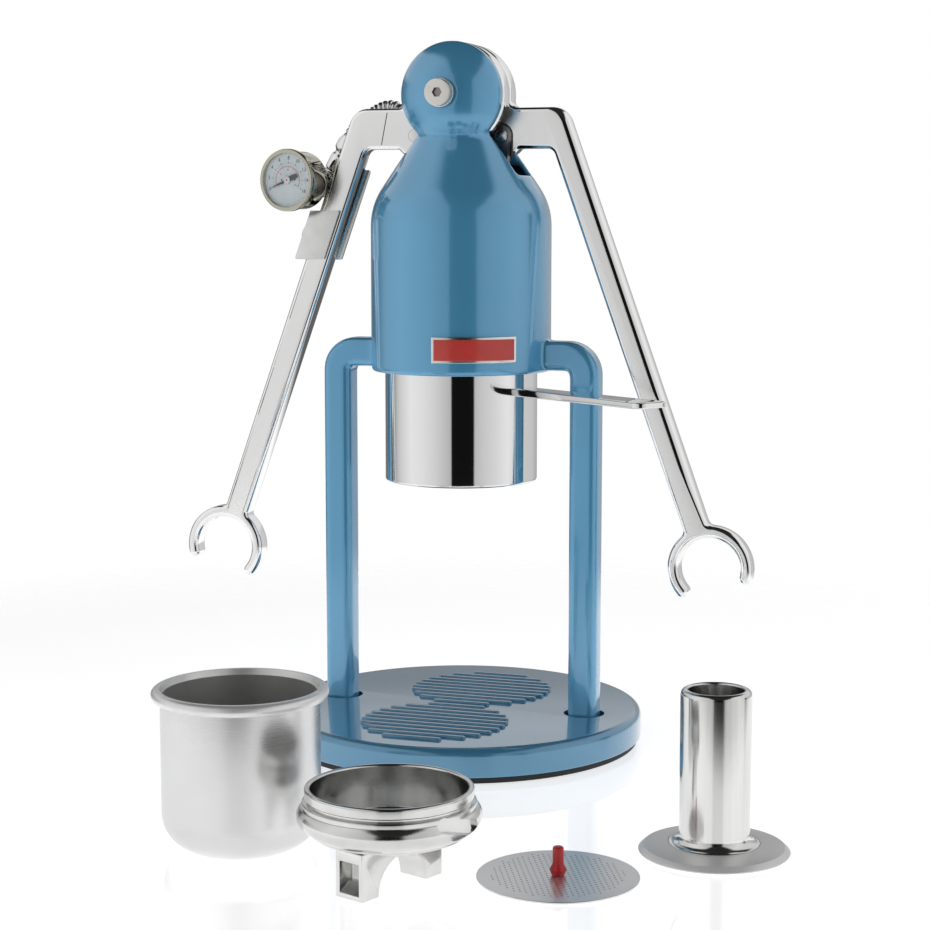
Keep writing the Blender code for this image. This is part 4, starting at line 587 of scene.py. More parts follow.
def make_casting(finish):
    """Torso, cheeks and legs as one enamelled casting with blended inner corners."""
    slope, wall = SHOULDER_SLOPE, SHOULDER_WALL
    inside = TORSO_RADIUS - TORSO_WALL
    profile = [
        (0, NECK_TOP, 0),
        (TORSO_RADIUS - slope * (NECK_TOP - SHOULDER_CORNER), NECK_TOP, 0),
        (TORSO_RADIUS, SHOULDER_CORNER, SHOULDER_ROUND),
        (TORSO_RADIUS, TORSO_BOTTOM, TORSO_EDGE),
        (inside, TORSO_BOTTOM, 0),
        (inside, SHOULDER_CORNER - (wall - TORSO_WALL) / slope, SHOULDER_ROUND - wall),
        (TORSO_RADIUS - slope * (CAVITY_TOP - SHOULDER_CORNER) - wall, CAVITY_TOP, 0),
        (0, CAVITY_TOP, 0),
    ]
    torso = turned("casting", profile, finish, steps=FINE_STEPS)
    inner = SLOT_HALF - GAP
    cap = HEAD_RADIUS / sin(DOME_TILT)
    centre = CHEEK_FRONT - cap * cos(DOME_TILT)
    dome = [(AXLE_BORE, centre + sqrt(cap**2 - NUT_SEAT**2))]
    dome += arc((0, centre), cap, acos(NUT_SEAT / cap), pi / 2 - DOME_TILT)
    dome += [(HEAD_RADIUS, inner), (AXLE_BORE, inner)]
    back = [
        (AXLE_BORE, -inner, 0), (REAR_RADIUS, -inner, 0),
        (REAR_RADIUS, -REAR_BACK, REAR_EDGE), (AXLE_BORE, -REAR_BACK, 0),
    ]
    parts = [
        turned(name, shape, None, HEAD, FORWARD, ring=True, steps=FINE_STEPS)
        for name, shape in (("front_cheek", dome), ("rear_cheek", back))
    ]
    torso = combine(torso, parts + [make_leg(-1), make_leg(1)], "UNION")
    top = HEAD_Z + HEAD_RADIUS + OVERRUN
    size = (TORSO_RADIUS * 2, SLOT_HALF * 2, top - SLOT_FLOOR)
    torso = combine(torso, [block("slot", size, (0, 0, (top + SLOT_FLOOR) / 2))], "DIFFERENCE")
    return fit(remesh(torso, MELT_VOXEL, MELT_ROUNDS), "body", "paint", "body")


# ---- base

BASE_RADIUS = 84.3 * MM
BASE_BOTTOM = 2.7 * MM
BASE_TOP = 15.6 * MM
BASE_TOP_EDGE = 3.6 * MM
BASE_BOTTOM_EDGE = 1.0 * MM
SOCKET_RADIUS = 9.4 * MM
SOCKET_DEPTH = 7.6 * MM
RIB_PITCH = 6.1 * MM
RIB_WIDTH = 3.5 * MM
RIB_HEIGHT = 1.1 * MM
RIB_SINK = 1.0 * MM
RIB_EDGE = 0.55 * MM
RIB_PATCH_RADIUS = 33.5 * MM
RIB_PATCH_OFFSET = 34.0 * MM
RIB_PATCH_SHIFT = -3.5 * MM
MAT_RADIUS = 82.3 * MM
MAT_THICKNESS = 2.4 * MM
MAT_EDGE = 0.4 * MM


def make_base(finish, rubber):
    profile = disc(BASE_RADIUS, BASE_TOP, BASE_BOTTOM, BASE_TOP_EDGE, BASE_BOTTOM_EDGE)
    base = turned("foot_plate", profile, finish, steps=FINE_STEPS + SMALL_STEPS)
    low, high = BASE_TOP - SOCKET_DEPTH, BASE_TOP + OVERRUN
    sockets = [rod("socket", SOCKET_RADIUS, low, high, place=(side * LEG_X, 0, 0)) for side in (-1, 1)]
    fit(smooth(combine(base, sockets, "DIFFERENCE")), "body", "paint", "base")
    half = RIB_WIDTH / 2
    rows = int(RIB_PATCH_RADIUS / RIB_PITCH)
    thickness = RIB_HEIGHT + RIB_SINK
    for side in (-1, 1):
        for row in range(-rows, rows + 1):
            y = RIB_PATCH_SHIFT + side * RIB_PATCH_OFFSET + row * RIB_PITCH
            reach = sqrt(RIB_PATCH_RADIUS**2 - (row * RIB_PITCH) ** 2) - half
            outline = arc((reach, 0), half, -pi / 2, pi / 2)
            outline += arc((-reach, 0), half, pi / 2, 1.5 * pi)
            place = (0, y, BASE_TOP + RIB_HEIGHT - thickness / 2)
            rib = plate(f"rib_{side + 1}_{row + rows}", outline, thickness, finish, place, HERE)
            fit(soften(rib, RIB_EDGE, 3), "body", "paint")
    mat = disc(MAT_RADIUS, MAT_THICKNESS, 0, MAT_EDGE)
    fit(turned("foot_mat", mat, rubber, steps=FINE_STEPS), "body", "rubber", "base_mat")


# ---- arms

ARM_DEPTH = 9.4 * MM
ARM_GAP = 0.15 * MM
ARM_EDGE = 2.0 * MM
ARM_BULLNOSE = 4.6 * MM
BULLNOSE_STEPS = 7
HAND_EDGE = 2.2 * MM
HUB_RADIUS = 23.6 * MM
HUB_FILLET = 3.2 * MM
SHOULDER_TOP = -5.5 * MM
SHOULDER_BOTTOM = -23.9 * MM
ELBOW_OUTER_ROUND = 9.0 * MM
ELBOW_INNER_ROUND = 4.0 * MM
ELBOW_REACH = 45.9 * MM
ARM_TILT = 19.9 * DEG
ARM_WIDTH = 11.7 * MM
FOREARM_LENGTH = 209.0 * MM
HAND_RADIUS = 19.3 * MM
HAND_BORE = 14.0 * MM
HAND_MOUTH_CENTRE = -75.5 * DEG
HAND_MOUTH_HALF = 54.0 * DEG
NECK_FILLET = 3.0 * MM
PIN_X = 19.0 * MM
PIN_DROP = 18.0 * MM
PIN_RADIUS = 3.0 * MM
PIN_CLEARANCE = 0.06 * MM
PIN_EDGE = 0.15 * MM
# Place and size of the thin black line of painted shade across the left arm's shoulder
SHADE_LINE_TOP = -31.9 * MM
SHADE_LINE_BOTTOM = -35.5 * MM
SHADE_LINE_WIDTH = 0.4 * MM
SHADE_LINE_RISE = 0.03 * MM
LOBE_RADIUS = 10.0 * MM
LOBE_FILLET = 2.4 * MM
LINK_EYE = 5.0 * MM
LINK_LENGTH = 54.0 * MM
LINK_DEPTH = 4.2 * MM
POCKET_ROOM = 0.7 * MM
POCKET_SWING = 100.0 * DEG
ARM_AXIS = Vector((sin(ARM_TILT), -cos(ARM_TILT)))
ARM_SIDE = Vector((cos(ARM_TILT), sin(ARM_TILT)))
ELBOW = Vector((ELBOW_REACH, (SHOULDER_TOP + SHOULDER_BOTTOM) / 2))
HAND = ELBOW + ARM_AXIS * FOREARM_LENGTH


def lobe_fillet(bottom):
    height = bottom - LOBE_FILLET
    beside = sqrt((LOBE_RADIUS + LOBE_FILLET) ** 2 - (height + PIN_DROP) ** 2)
    return (beside, height), atan2(-PIN_DROP - height, beside)


def arm_outline():
    """Outline of an arm about its hub: shoulder bar, pin lobe, forearm and the open ring of the hand."""
    outer = ELBOW + ARM_SIDE * (ARM_WIDTH / 2)
    inner = ELBOW - ARM_SIDE * (ARM_WIDTH / 2)
    slope = tan(ARM_TILT)
    outer_x = outer.x + slope * (outer.y - SHOULDER_TOP)
    inner_x = inner.x + slope * (inner.y - SHOULDER_BOTTOM)
    fillet_z = SHOULDER_TOP + HUB_FILLET
    fillet_x = sqrt((HUB_RADIUS + HUB_FILLET) ** 2 - fillet_z**2)
    fillet_start = atan2(fillet_z, fillet_x)
    points = arc((0, 0), HUB_RADIUS, fillet_start, 1.5 * pi)
    centre, angle = lobe_fillet(-HUB_RADIUS)
    points += arc((PIN_X - centre[0], centre[1]), LOBE_FILLET, pi / 2, angle)
    points += arc((PIN_X, -PIN_DROP), LOBE_RADIUS, angle - pi, -lobe_fillet(SHOULDER_BOTTOM)[1])[1:-1]
    centre, angle = lobe_fillet(SHOULDER_BOTTOM)
    points += arc((PIN_X + centre[0], centre[1]), LOBE_FILLET, pi - angle, pi / 2)
    neck_side = ARM_WIDTH / 2 + NECK_FILLET
    neck_along = sqrt((HAND_RADIUS + NECK_FILLET) ** 2 - neck_side**2)
    neck_angle = atan2(neck_side, neck_along)
    up = ARM_TILT + pi / 2
    inner_neck = HAND - ARM_AXIS * neck_along - ARM_SIDE * neck_side
    outer_neck = HAND - ARM_AXIS * neck_along + ARM_SIDE * neck_side
    neck_in = inner_neck + ARM_SIDE * NECK_FILLET
    neck_out = outer_neck - ARM_SIDE * NECK_FILLET
    tip = (HAND_RADIUS - HAND_BORE) / 2
    half_mouth = HAND_MOUTH_HALF + tip / (HAND_BORE + tip)
    mouth_start = HAND_MOUTH_CENTRE - half_mouth + 2 * pi
    mouth_end = HAND_MOUTH_CENTRE + half_mouth
    elbow_in = [(PIN_X, SHOULDER_BOTTOM, 0), (inner_x, SHOULDER_BOTTOM, ELBOW_INNER_ROUND), (*neck_in, 0)]
    points += rounded(elbow_in, closed=False)[1:-1]
    points += arc(inner_neck, NECK_FILLET, ARM_TILT, up + neck_angle - pi)[:-1]
    points += arc(HAND, HAND_RADIUS, up + neck_angle, mouth_start)[:-1]
    for angle, start in ((mouth_start, mouth_start), (mouth_end, mouth_end + pi)):
        middle = HAND + Vector((cos(angle), sin(angle))) * (HAND_BORE + tip)
        if angle == mouth_end:
            points += arc(HAND, HAND_BORE, mouth_start, mouth_end)[1:-1]
        points += arc(middle, tip, start, start + pi)
    points += arc(HAND, HAND_RADIUS, mouth_end, up - neck_angle)[1:]
    points += arc(outer_neck, NECK_FILLET, up - neck_angle - pi, ARM_TILT - pi)[1:]
    elbow_out = [(*neck_out, 0), (outer_x, SHOULDER_TOP, ELBOW_OUTER_ROUND), (fillet_x, SHOULDER_TOP, 0)]
    points += rounded(elbow_out, closed=False)[1:-1]
    points += arc((fillet_x, fillet_z), HUB_FILLET, -pi / 2, fillet_start - pi)[:-1]
    return points


def pocket_outline():
    """Room for the link on an arm's inner face, over the arm's whole swing."""
    radius = LINK_EYE + POCKET_ROOM
    last = pi - POCKET_SWING
    rim = arc((PIN_X, -PIN_DROP), radius, 0, last)
    back = Vector((-sin(last), cos(last)))
    reach = LINK_LENGTH + OVERRUN
    far = Vector(rim[-1]) + back * reach
    low = -PIN_DROP - reach
    return rim + [(far.x, far.y), (far.x, low), (PIN_X + radius, low)]


def arm_edge_width(place, bullnose):
    """How far the arm's edge is rounded at a place of its outline."""
    if (place - HAND).length < HAND_RADIUS + NECK_FILLET:
        return HAND_EDGE
    if place.length < HUB_RADIUS + GAP:
        return ARM_EDGE
    share = (place - ELBOW).dot(ARM_SIDE) / (ARM_WIDTH / 2)
    return ARM_EDGE + (bullnose - ARM_EDGE) * min(1, max(0, share))


def round_arm(arm, bullnose):
    """Rounds an arm's face edges by weights, each as wide as its place asks."""
    mesh = arm.data
    weights = mesh.attributes.new("bevel_weight_edge", "FLOAT", "EDGE")
    for edge in mesh.edges:
        first, second = (mesh.vertices[index].co for index in edge.vertices)
        if abs(first.z - second.z) < MERGE:
            middle = ((first + second) / 2).to_2d()
            weights.data[edge.index].value = arm_edge_width(middle, bullnose) / ARM_BULLNOSE
    modify(arm, "BEVEL", width=ARM_BULLNOSE, segments=BULLNOSE_STEPS, limit_method="WEIGHT", use_clamp_overlap=False)
    return smooth(apply(arm))


def make_painted_shade_line(finish):
    """A thin black line across the left arm's shoulder, painted as shade."""
    top = Vector((SHADE_LINE_TOP, 0, HEAD_Z + SHOULDER_TOP))
    bottom = Vector((SHADE_LINE_BOTTOM, 0, HEAD_Z + SHOULDER_BOTTOM))
    run, middle = top - bottom, (top + bottom) / 2
    middle.y = -ARM_GAP - ARM_DEPTH
    size = (SHADE_LINE_WIDTH, 2 * SHADE_LINE_RISE, run.length - 2 * ARM_EDGE)
    shade_line = block("shoulder_shade_line", size, middle, (0, atan2(run.x, run.z), 0), finish)
    fit(shade_line, "left_arm", "steel")


def make_arm(side, finish, steel):
    name = "right" if side > 0 else "left"
    turn = (pi / 2, 0, 0 if side > 0 else pi)
    middle = side * (ARM_GAP + ARM_DEPTH / 2)
    hub = (0, middle, HEAD_Z)
    arm = plate(f"{name}_lever", arm_outline(), ARM_DEPTH, finish, hub, turn)
    arm = round_arm(arm, ARM_BULLNOSE if side > 0 else ARM_EDGE)
    depth = ARM_GAP + LINK_DEPTH + POCKET_ROOM
    place = (0, side * (depth - OVERRUN) / 2, HEAD_Z)
    cutters = [plate("pocket", pocket_outline(), depth + OVERRUN, None, place, turn)]
    place = (side * PIN_X, middle, HEAD_Z - PIN_DROP)
    for radius, place in ((AXLE_BORE, hub), (PIN_RADIUS + PIN_CLEARANCE, place)):
        cutters.append(rod("bore", radius, -2 * OVERRUN, 2 * OVERRUN, None, place, FORWARD))
    arm = smooth(combine(arm, cutters, "DIFFERENCE"))
    fit(arm, f"{name}_arm", "chrome", f"{name}_arm")
    ends = sorted((-side * GAP, -side * (ARM_GAP + ARM_DEPTH)))
    place = (side * PIN_X, 0, HEAD_Z - PIN_DROP)
    pin = rod(f"{name}_lever_pin", PIN_RADIUS, *ends, steel, place, FORWARD)
    fit(soften(pin, PIN_EDGE, 2), f"{name}_arm", "steel", f"{name}_link_pin")


# ---- portafilter, its handle and the axle's front

TUBE_RADIUS = 35.0 * MM
TUBE_BORE = 31.3 * MM
TUBE_BOTTOM = 121.9 * MM
TUBE_TOP = 184.0 * MM
TUBE_OUTER_EDGE = 1.3 * MM
TUBE_INNER_EDGE = 0.6 * MM


def make_portafilter(finish):
    profile = [
        (TUBE_RADIUS, TUBE_TOP, FINE_EDGE),
        (TUBE_RADIUS, TUBE_BOTTOM, TUBE_OUTER_EDGE),
        (TUBE_BORE, TUBE_BOTTOM, TUBE_INNER_EDGE),
        (TUBE_BORE, TUBE_TOP, FINE_EDGE),
    ]
    tube = turned("polished_tube", profile, finish, ring=True, steps=FINE_STEPS)
    fit(tube, "portafilter", "chrome", "portafilter")


HANDLE_TOP = 166.0 * MM
HANDLE_SHEET = 2.4 * MM
HANDLE_ROOT_EXTRA = 1.3 * MM
HANDLE_START = (28.0 * MM, -6.3 * MM)
HANDLE_DIRECTION = -35.5 * DEG
HANDLE_LENGTH = 96.0 * MM
HANDLE_ROOT_WIDTH = 10.0 * MM
HANDLE_END_WIDTH = 17.5 * MM
HANDLE_END_ROUND = 4.5 * MM
HANDLE_EDGE = 0.5 * MM


def make_handle(finish):
    root, end = HANDLE_ROOT_WIDTH / 2, HANDLE_END_WIDTH / 2
    tips = [(HANDLE_LENGTH, y, HANDLE_END_ROUND) for y in (-end, end)]
    outline = [(0, root, 0), (0, -root, 0), *tips]
    place = (*HANDLE_START, HANDLE_TOP - HANDLE_SHEET / 2)
    handle = plate("flat_handle", outline, HANDLE_SHEET, finish, place, (0, 0, HANDLE_DIRECTION))
    for vertex in handle.data.vertices:
        if vertex.co.z < 0:
            vertex.co.z -= HANDLE_ROOT_EXTRA * (1 - vertex.co.x / HANDLE_LENGTH)
    handle = soften(handle, HANDLE_EDGE, 3)
    low, high = HANDLE_TOP - HANDLE_SHEET - HANDLE_ROOT_EXTRA - OVERRUN, HANDLE_TOP + OVERRUN
    seat = rod("handle_seat", TUBE_RADIUS - GAP, low, high, steps=FINE_STEPS)
    fit(smooth(combine(handle, [seat], "DIFFERENCE")), "portafilter", "chrome", "portafilter_handle")


CAP_RADIUS = 6.0 * MM
CAP_THICKNESS = 3.1 * MM
CAP_BACK = 30.2 * MM
CAP_EDGE = 0.35 * MM
WASHER_RADIUS = 6.4 * MM
WASHER_SHEET = 2.5 * MM
HEX_RADIUS = 2.3 * MM
HEX_DEPTH = 2.0 * MM
HEX_SHADOW = 0.97


def make_axle(pale, steel, dark):
    top = CAP_BACK + CAP_THICKNESS
    cap = turned("socket_cap", disc(CAP_RADIUS, top, CAP_BACK, CAP_EDGE, TINY_EDGE), pale, HEAD, FORWARD)
    depth = top - HEX_DEPTH
    socket = rod("hex_socket", HEX_RADIUS, depth, top + OVERRUN, None, HEAD, FORWARD, 6)
    fit(smooth(combine(cap, [socket], "DIFFERENCE")), "body", "steel", "axle_cap")
    ends = (depth - 0.2 * MM, depth + 0.5 * MM)
    bottom = rod("hex_shadow", HEX_RADIUS * HEX_SHADOW, *ends, dark, HEAD, FORWARD, 6)
    fit(bottom, "body", "steel")
    high = CAP_BACK - GAP
    low = high - WASHER_SHEET
    ring = [(WASHER_RADIUS, z, FINE_EDGE) for z in (high, low)] + [(AXLE_BORE, z, 0) for z in (low, high)]
    fit(turned("head_washer", ring, steel, HEAD, FORWARD, ring=True), "body", "steel", "axle_washer")


# ---- gauge, bracket and hose on the left arm

GAUGE = Vector((-76.4 * MM, -22.0 * MM, 259.2 * MM))
GAUGE_YAW = -9 * DEG
GAUGE_TURN = (pi / 2, 0, GAUGE_YAW)
GAUGE_AXES = Matrix.Rotation(GAUGE_YAW, 4, "Z") @ Matrix.Rotation(pi / 2, 4, "X")
BEZEL_RADIUS = 14.2 * MM
BEZEL_FACE = 1.5 * MM
BEZEL_DEPTH = 3.2 * MM
BEZEL_LIP = 1.9 * MM
BEZEL_EDGE = 0.7 * MM
CASE_RADIUS = 13.2 * MM
CASE_DEPTH = 14.0 * MM
CASE_ROUND = 2.0 * MM
CASE_TAPER = 2.5 * MM
CASE_TAIL = 8.0 * MM
DIAL_RADIUS = 12.2 * MM
DIAL_SCALE = 1.08 * MM
DIAL_DEPTH = 0.6 * MM
SCALE_FIRST = 202 * DEG
SCALE_STEP = 29 * DEG
SCALE_COUNT = 9
STROKE = 0.04 * MM
DIGIT_HEIGHT = 0.05 * MM
DIGIT_EXTRUDE = 0.02 * MM
# Sizes and radii in shares of DIAL_SCALE, the strokes' widths in mm
NUMBERS, INNER_NUMBERS = (2.1, 9.3), (1.25, 4.3)
STROKES, SHORT_STROKES = ((6.9, 7.9), 0.22), ((6.9, 7.35), 0.12)
INNER_STROKES, INNER_SHORT_STROKES = ((5.1, 5.9), 0.18), ((5.45, 5.9), 0.1)
BAND = (6.0, 5.85)
RIVETS = (-3.0, 3.6)
RIVET_RISE = 0.2
RIVET_RADIUS = 0.35 * MM
NEEDLE_LENGTH = 8.8 * MM
NEEDLE_TAIL = 5.8 * MM
NEEDLE_HEIGHT = 0.6 * MM
NEEDLE_SHEET = 0.25 * MM
# Place along the needle in metres, half width there in mm
NEEDLE_SHAPE = ((NEEDLE_LENGTH, 0.12), (0, 0.75), (-NEEDLE_TAIL * 0.45, 1.25), (-NEEDLE_TAIL, 0.9))
HUB_WHITE = 1.7 * MM
HUB_RED = 0.42 * MM
PANE_BACK = 1.0 * MM
PANE_FRONT = 1.15 * MM
BLOCK_RADIUS = 4.6 * MM
BLOCK_LENGTH = 13.6 * MM
BLOCK_CAP_RADIUS = 5.4 * MM
BLOCK_CAP_LENGTH = 2.4 * MM
BARREL_RADIUS = 4.8 * MM
BARREL_ENDS = (-74.5 * MM, -57.0 * MM)
BARREL_AXIS = (5.2 * MM, 256.3 * MM)


def on_gauge(x, y, height):
    """A point in the gauge's own frame: x right, y up, height out of the dial."""
    return GAUGE + (GAUGE_AXES @ Vector((x, y, height)))


def merge(name, pieces, finish):
    """Joins several objects into one mesh in the frame's own coordinates."""
    work = bmesh.new()
    for piece in pieces:
        mesh = piece.data.copy()
        bpy.context.view_layer.update()
        mesh.transform(piece.matrix_world)
        work.from_mesh(mesh)
        bpy.data.objects.remove(piece, do_unlink=True)
    return built(name, work, finish)


def digits(index, size, radius):
    """The number of a stroke of the scale."""
    data = bpy.data.curves.new("digits", "FONT")
    put(data, body=str(2 * index), size=size * DIAL_SCALE, extrude=DIGIT_EXTRUDE)
    put(data, align_x="CENTER", align_y="CENTER")
    angle = SCALE_FIRST - index * SCALE_STEP
    radius *= DIAL_SCALE
    place = on_gauge(radius * cos(angle), radius * sin(angle), DIGIT_HEIGHT)
    return apply(add("digits", data, None, place, GAUGE_TURN))


def tick(angle, ends, width):
    """A radial stroke on the dial."""
    near, far = (end * DIAL_SCALE for end in ends)
    middle = (near + far) / 2
    place = on_gauge(middle * cos(angle), middle * sin(angle), STROKE)
    turn = (GAUGE_AXES @ Matrix.Rotation(angle, 4, "Z")).to_euler()
    return block("tick", (far - near, width * MM, STROKE), place, turn)


def make_dial(face, ink, red, white):
    dial = turned("gauge_face", disc(DIAL_RADIUS, 0, -DIAL_DEPTH), face, GAUGE, GAUGE_TURN)
    fit(dial, "left_arm", "dial", "gauge_dial")
    marks, fine = [], []
    for index in range(SCALE_COUNT):
        angle = SCALE_FIRST - index * SCALE_STEP
        marks.append(digits(index, *NUMBERS))
        marks.append(tick(angle, *STROKES))
        fine.append(tick(angle, *INNER_STROKES))
        if index % 2 == 0:
            fine.append(digits(index, *INNER_NUMBERS))
        if index + 1 < SCALE_COUNT:
            for share in (0.25, 0.5, 0.75):
                marks.append(tick(angle - share * SCALE_STEP, *SHORT_STROKES))
                fine.append(tick(angle - share * SCALE_STEP, *INNER_SHORT_STROKES))
    last = SCALE_FIRST - (SCALE_COUNT - 1) * SCALE_STEP
    outer, inner = (radius * DIAL_SCALE for radius in BAND)
    band = arc((0, 0), outer, last, SCALE_FIRST) + arc((0, 0), inner, SCALE_FIRST, last)
    fine.append(plate("band", band, STROKE, None, on_gauge(0, 0, STROKE), GAUGE_TURN))
    for x in RIVETS:
        place = on_gauge(x * DIAL_SCALE, RIVET_RISE * DIAL_SCALE, 0)
        marks.append(rod("rivet", RIVET_RADIUS, 0.02 * MM, 0.1 * MM, None, place, GAUGE_TURN))
    fit(merge("dial_marks", marks, ink), "left_arm", "needle")
    fit(merge("dial_inner_marks", fine, red), "left_arm", "silicone")
    along = Vector((cos(SCALE_FIRST), sin(SCALE_FIRST)))
    across = Vector((-along.y, along.x))
    points = [along * place + across * half * MM for place, half in NEEDLE_SHAPE]
    points += [along * place - across * half * MM for place, half in reversed(NEEDLE_SHAPE)]
    place = on_gauge(0, 0, NEEDLE_HEIGHT)
    needle = plate("pointer", [(point.x, point.y) for point in points], NEEDLE_SHEET, ink, place, GAUGE_TURN)
    fit(needle, "gauge_needle", "needle", "gauge_needle")
    low = NEEDLE_HEIGHT - 0.2 * MM
    hub = turned("pointer_hub", disc(HUB_WHITE, low + 0.5 * MM, low, TINY_EDGE), white, GAUGE, GAUGE_TURN)
    fit(hub, "gauge_needle", "needle")
    dot = rod("pointer_dot", HUB_RED, low + 0.3 * MM, low + 0.54 * MM, red, GAUGE, GAUGE_TURN)
    fit(dot, "gauge_needle", "needle")


def make_gauge(nickel, knurl, glass, face, ink, red, white):
    back = BEZEL_FACE - BEZEL_DEPTH
    lip = BEZEL_RADIUS - BEZEL_LIP
    bezel = [
        (BEZEL_RADIUS, BEZEL_FACE, BEZEL_EDGE), (BEZEL_RADIUS, back, FINE_EDGE), (lip, back, 0),
        (lip - 0.1 * MM, 0.2 * MM, 0), (lip, BEZEL_FACE, SMALL_EDGE),
    ]
    fit(turned("dial_rim", bezel, nickel, GAUGE, GAUGE_TURN, ring=True), "left_arm", "chrome", "gauge_bezel")
    low = -CASE_DEPTH - CASE_TAPER
    case = [
        (0, -DIAL_DEPTH, 0), (CASE_RADIUS, -DIAL_DEPTH, 0), (CASE_RADIUS, -CASE_DEPTH, CASE_ROUND),
        (CASE_TAIL, low, 1.0 * MM), (0, low, 0),
    ]
    fit(turned("dial_case", case, nickel, GAUGE, GAUGE_TURN), "left_arm", "steel", "gauge_case")
    pane = rod("dial_glass", lip, PANE_BACK, PANE_FRONT, glass, GAUGE, GAUGE_TURN, ROUND_STEPS)
    fit(pane, "left_arm", "glass", "gauge_lens")
    cap = low - BLOCK_LENGTH
    end = cap - BLOCK_CAP_LENGTH
    profile = [
        (0, low, 0), (BLOCK_RADIUS, low, SMALL_EDGE), (BLOCK_RADIUS, cap, 0),
        (BLOCK_CAP_RADIUS, cap, SMALL_EDGE), (BLOCK_CAP_RADIUS, end, 0.5 * MM), (0, end, 0),
    ]
    fit(turned("feed_block", profile, knurl, GAUGE, GAUGE_TURN), "left_arm", "steel", "gauge_block")
    barrel = rod("feed_barrel", BARREL_RADIUS, *BARREL_ENDS, knurl, (0, *BARREL_AXIS), (0, pi / 2, 0))
    fit(soften(barrel, SMALL_EDGE, 3), "left_arm", "steel")
    make_dial(face, ink, red, white)


SHEET = 1.3 * MM
CLIP_TOP = 245.4 * MM
CLIP_BOTTOM = 223.0 * MM
CLIP_REAR_TOP = 262.0 * MM
CLIP_OUTSIDE = 4.2 * MM
CLIP_INSIDE = 2.0 * MM
CLIP_FRONT_SHORT = 2.2 * MM
CLIP_MARGIN = 0.4 * MM
CLIP_EDGE = 0.3 * MM
EAR_OUTSIDE = 4.0 * MM
SCREW_HEIGHT = 234.0 * MM
SCREW_RADIUS = 2.4 * MM
SCREW_HEAD = 3.8 * MM
SCREW_THICKNESS = 1.3 * MM
SCREW_EDGE = 0.6 * MM


def arm_edge_x(height, offset):
    """X of a line beside the left forearm, offset outwards from its outer edge."""
    outer = ELBOW + ARM_SIDE * (ARM_WIDTH / 2 + offset)
    return -(outer.x + tan(ARM_TILT) * (outer.y - (height - HEAD_Z)))


def make_bracket(finish):
    """A sheet leaf behind the left arm with a channel folded round the arm's outer side, and its screw."""
    front_y = -ARM_GAP - ARM_DEPTH - GAP
    rear_y = -ARM_GAP + GAP
    inside = -ARM_WIDTH - CLIP_INSIDE
    short = -ARM_WIDTH + CLIP_FRONT_SHORT

    def sheet(corners, near, far):
        return plate("sheet", corners, far - near, None, (0, (near + far) / 2, 0))

    def corner(height, offset, radius=0):
        return (arm_edge_x(height, offset), height, radius)

    def leaf(low, high, outer, inner, radius):
        places = ((high, outer), (low, outer), (low, inner), (high, inner))
        return [corner(*place, radius) for place in places]

    outside = CLIP_OUTSIDE + CLIP_MARGIN
    top = CLIP_REAR_TOP + CLIP_INSIDE
    low = CLIP_BOTTOM - CLIP_MARGIN
    ear = [
        corner(top, EAR_OUTSIDE, MM), corner(CLIP_TOP, EAR_OUTSIDE), corner(CLIP_TOP, outside),
        corner(low, outside, MM), corner(low, inside, MM), corner(top, inside, MM),
    ]
    rear = sheet(ear, rear_y, rear_y + SHEET)
    outer = sheet(leaf(CLIP_BOTTOM, CLIP_TOP, CLIP_OUTSIDE, short, 0.8 * MM), front_y - SHEET, rear_y + SHEET / 2)
    hollow = leaf(CLIP_BOTTOM - OVERRUN, CLIP_TOP + OVERRUN, CLIP_OUTSIDE - SHEET, short - OVERRUN, 0)
    channel = combine(outer, [sheet(hollow, front_y, rear_y + SHEET)], "DIFFERENCE")
    channel.data.materials.append(finish)
    bracket = soften(combine(channel, [rear], "UNION"), CLIP_EDGE, 3, 50 * DEG)
    fit(bracket, "left_arm", "steel", "gauge_bracket")
    side = Vector((-cos(ARM_TILT), 0, sin(ARM_TILT)))
    start = Vector((arm_edge_x(SCREW_HEIGHT, GAP), -ARM_GAP - ARM_DEPTH / 2, SCREW_HEIGHT))
    under = CLIP_OUTSIDE
    head = under + SCREW_THICKNESS
    profile = [
        (0, head, 0), (SCREW_HEAD, head, SCREW_EDGE), (SCREW_HEAD, under, 0),
        (SCREW_RADIUS, under, 0), (SCREW_RADIUS, 0, 0), (0, 0, 0),
    ]
    screw = turned("clip_screw", profile, finish, start, side.to_track_quat("Z", "Y").to_euler(), steps=SMALL_STEPS)
    fit(screw, "left_arm", "steel", "bracket_screw")


HOSE_RADIUS = 4.1 * MM
HOSE_RIB = 0.7 * MM
HOSE_RIB_CREST = 2.2
HOSE_PITCH = 2.0 * MM
HOSE_SHARP = 60 * DEG
HOSE_SIDES = 32
HOSE_SAMPLES = 10
SPLINE_STEPS = 40
HOSE_Y = 5.0 * MM
# Course (x, z) of the hose from the ferrule down to the piston rod, in mm
HOSE_COURSE = (
    (-55.3, 279.1), (-54.0, 281.3), (-51.9, 283.9), (-48.0, 286.8), (-43.7, 289.3), (-39.9, 291.2), (-36.0, 291.9),
    (-32.3, 290.6), (-29.6, 286.8), (-27.6, 281.0), (-25.4, 273.5), (-21.5, 265.0), (-16.2, 257.0), (-12.4, 249.0),
    (-12.0, 241.5), (-12.0, 234.5),
)
HOSE_ROUTE = [(x * MM, HOSE_Y, z * MM) for x, z in HOSE_COURSE]
# Corners (radius, height, round) below the ferrule's open end, in mm
FERRULE_CORNERS = (
    (5.2, -3.0, 1.8), (5.2, -6.8, 1.8), (3.8, -8.7, 1.0), (4.9, -10.6, 1.4), (4.9, -17.0, 1.2), (3.9, -18.3, 0.2),
    (5.6, -18.6, 0.3), (5.6, -20.4, 0.3), (0, -20.4, 0),
)
FERRULE = [(0, 0, 0), (HOSE_RADIUS, 0, 0.5 * MM)]
FERRULE += [tuple(value * MM for value in corner) for corner in FERRULE_CORNERS]


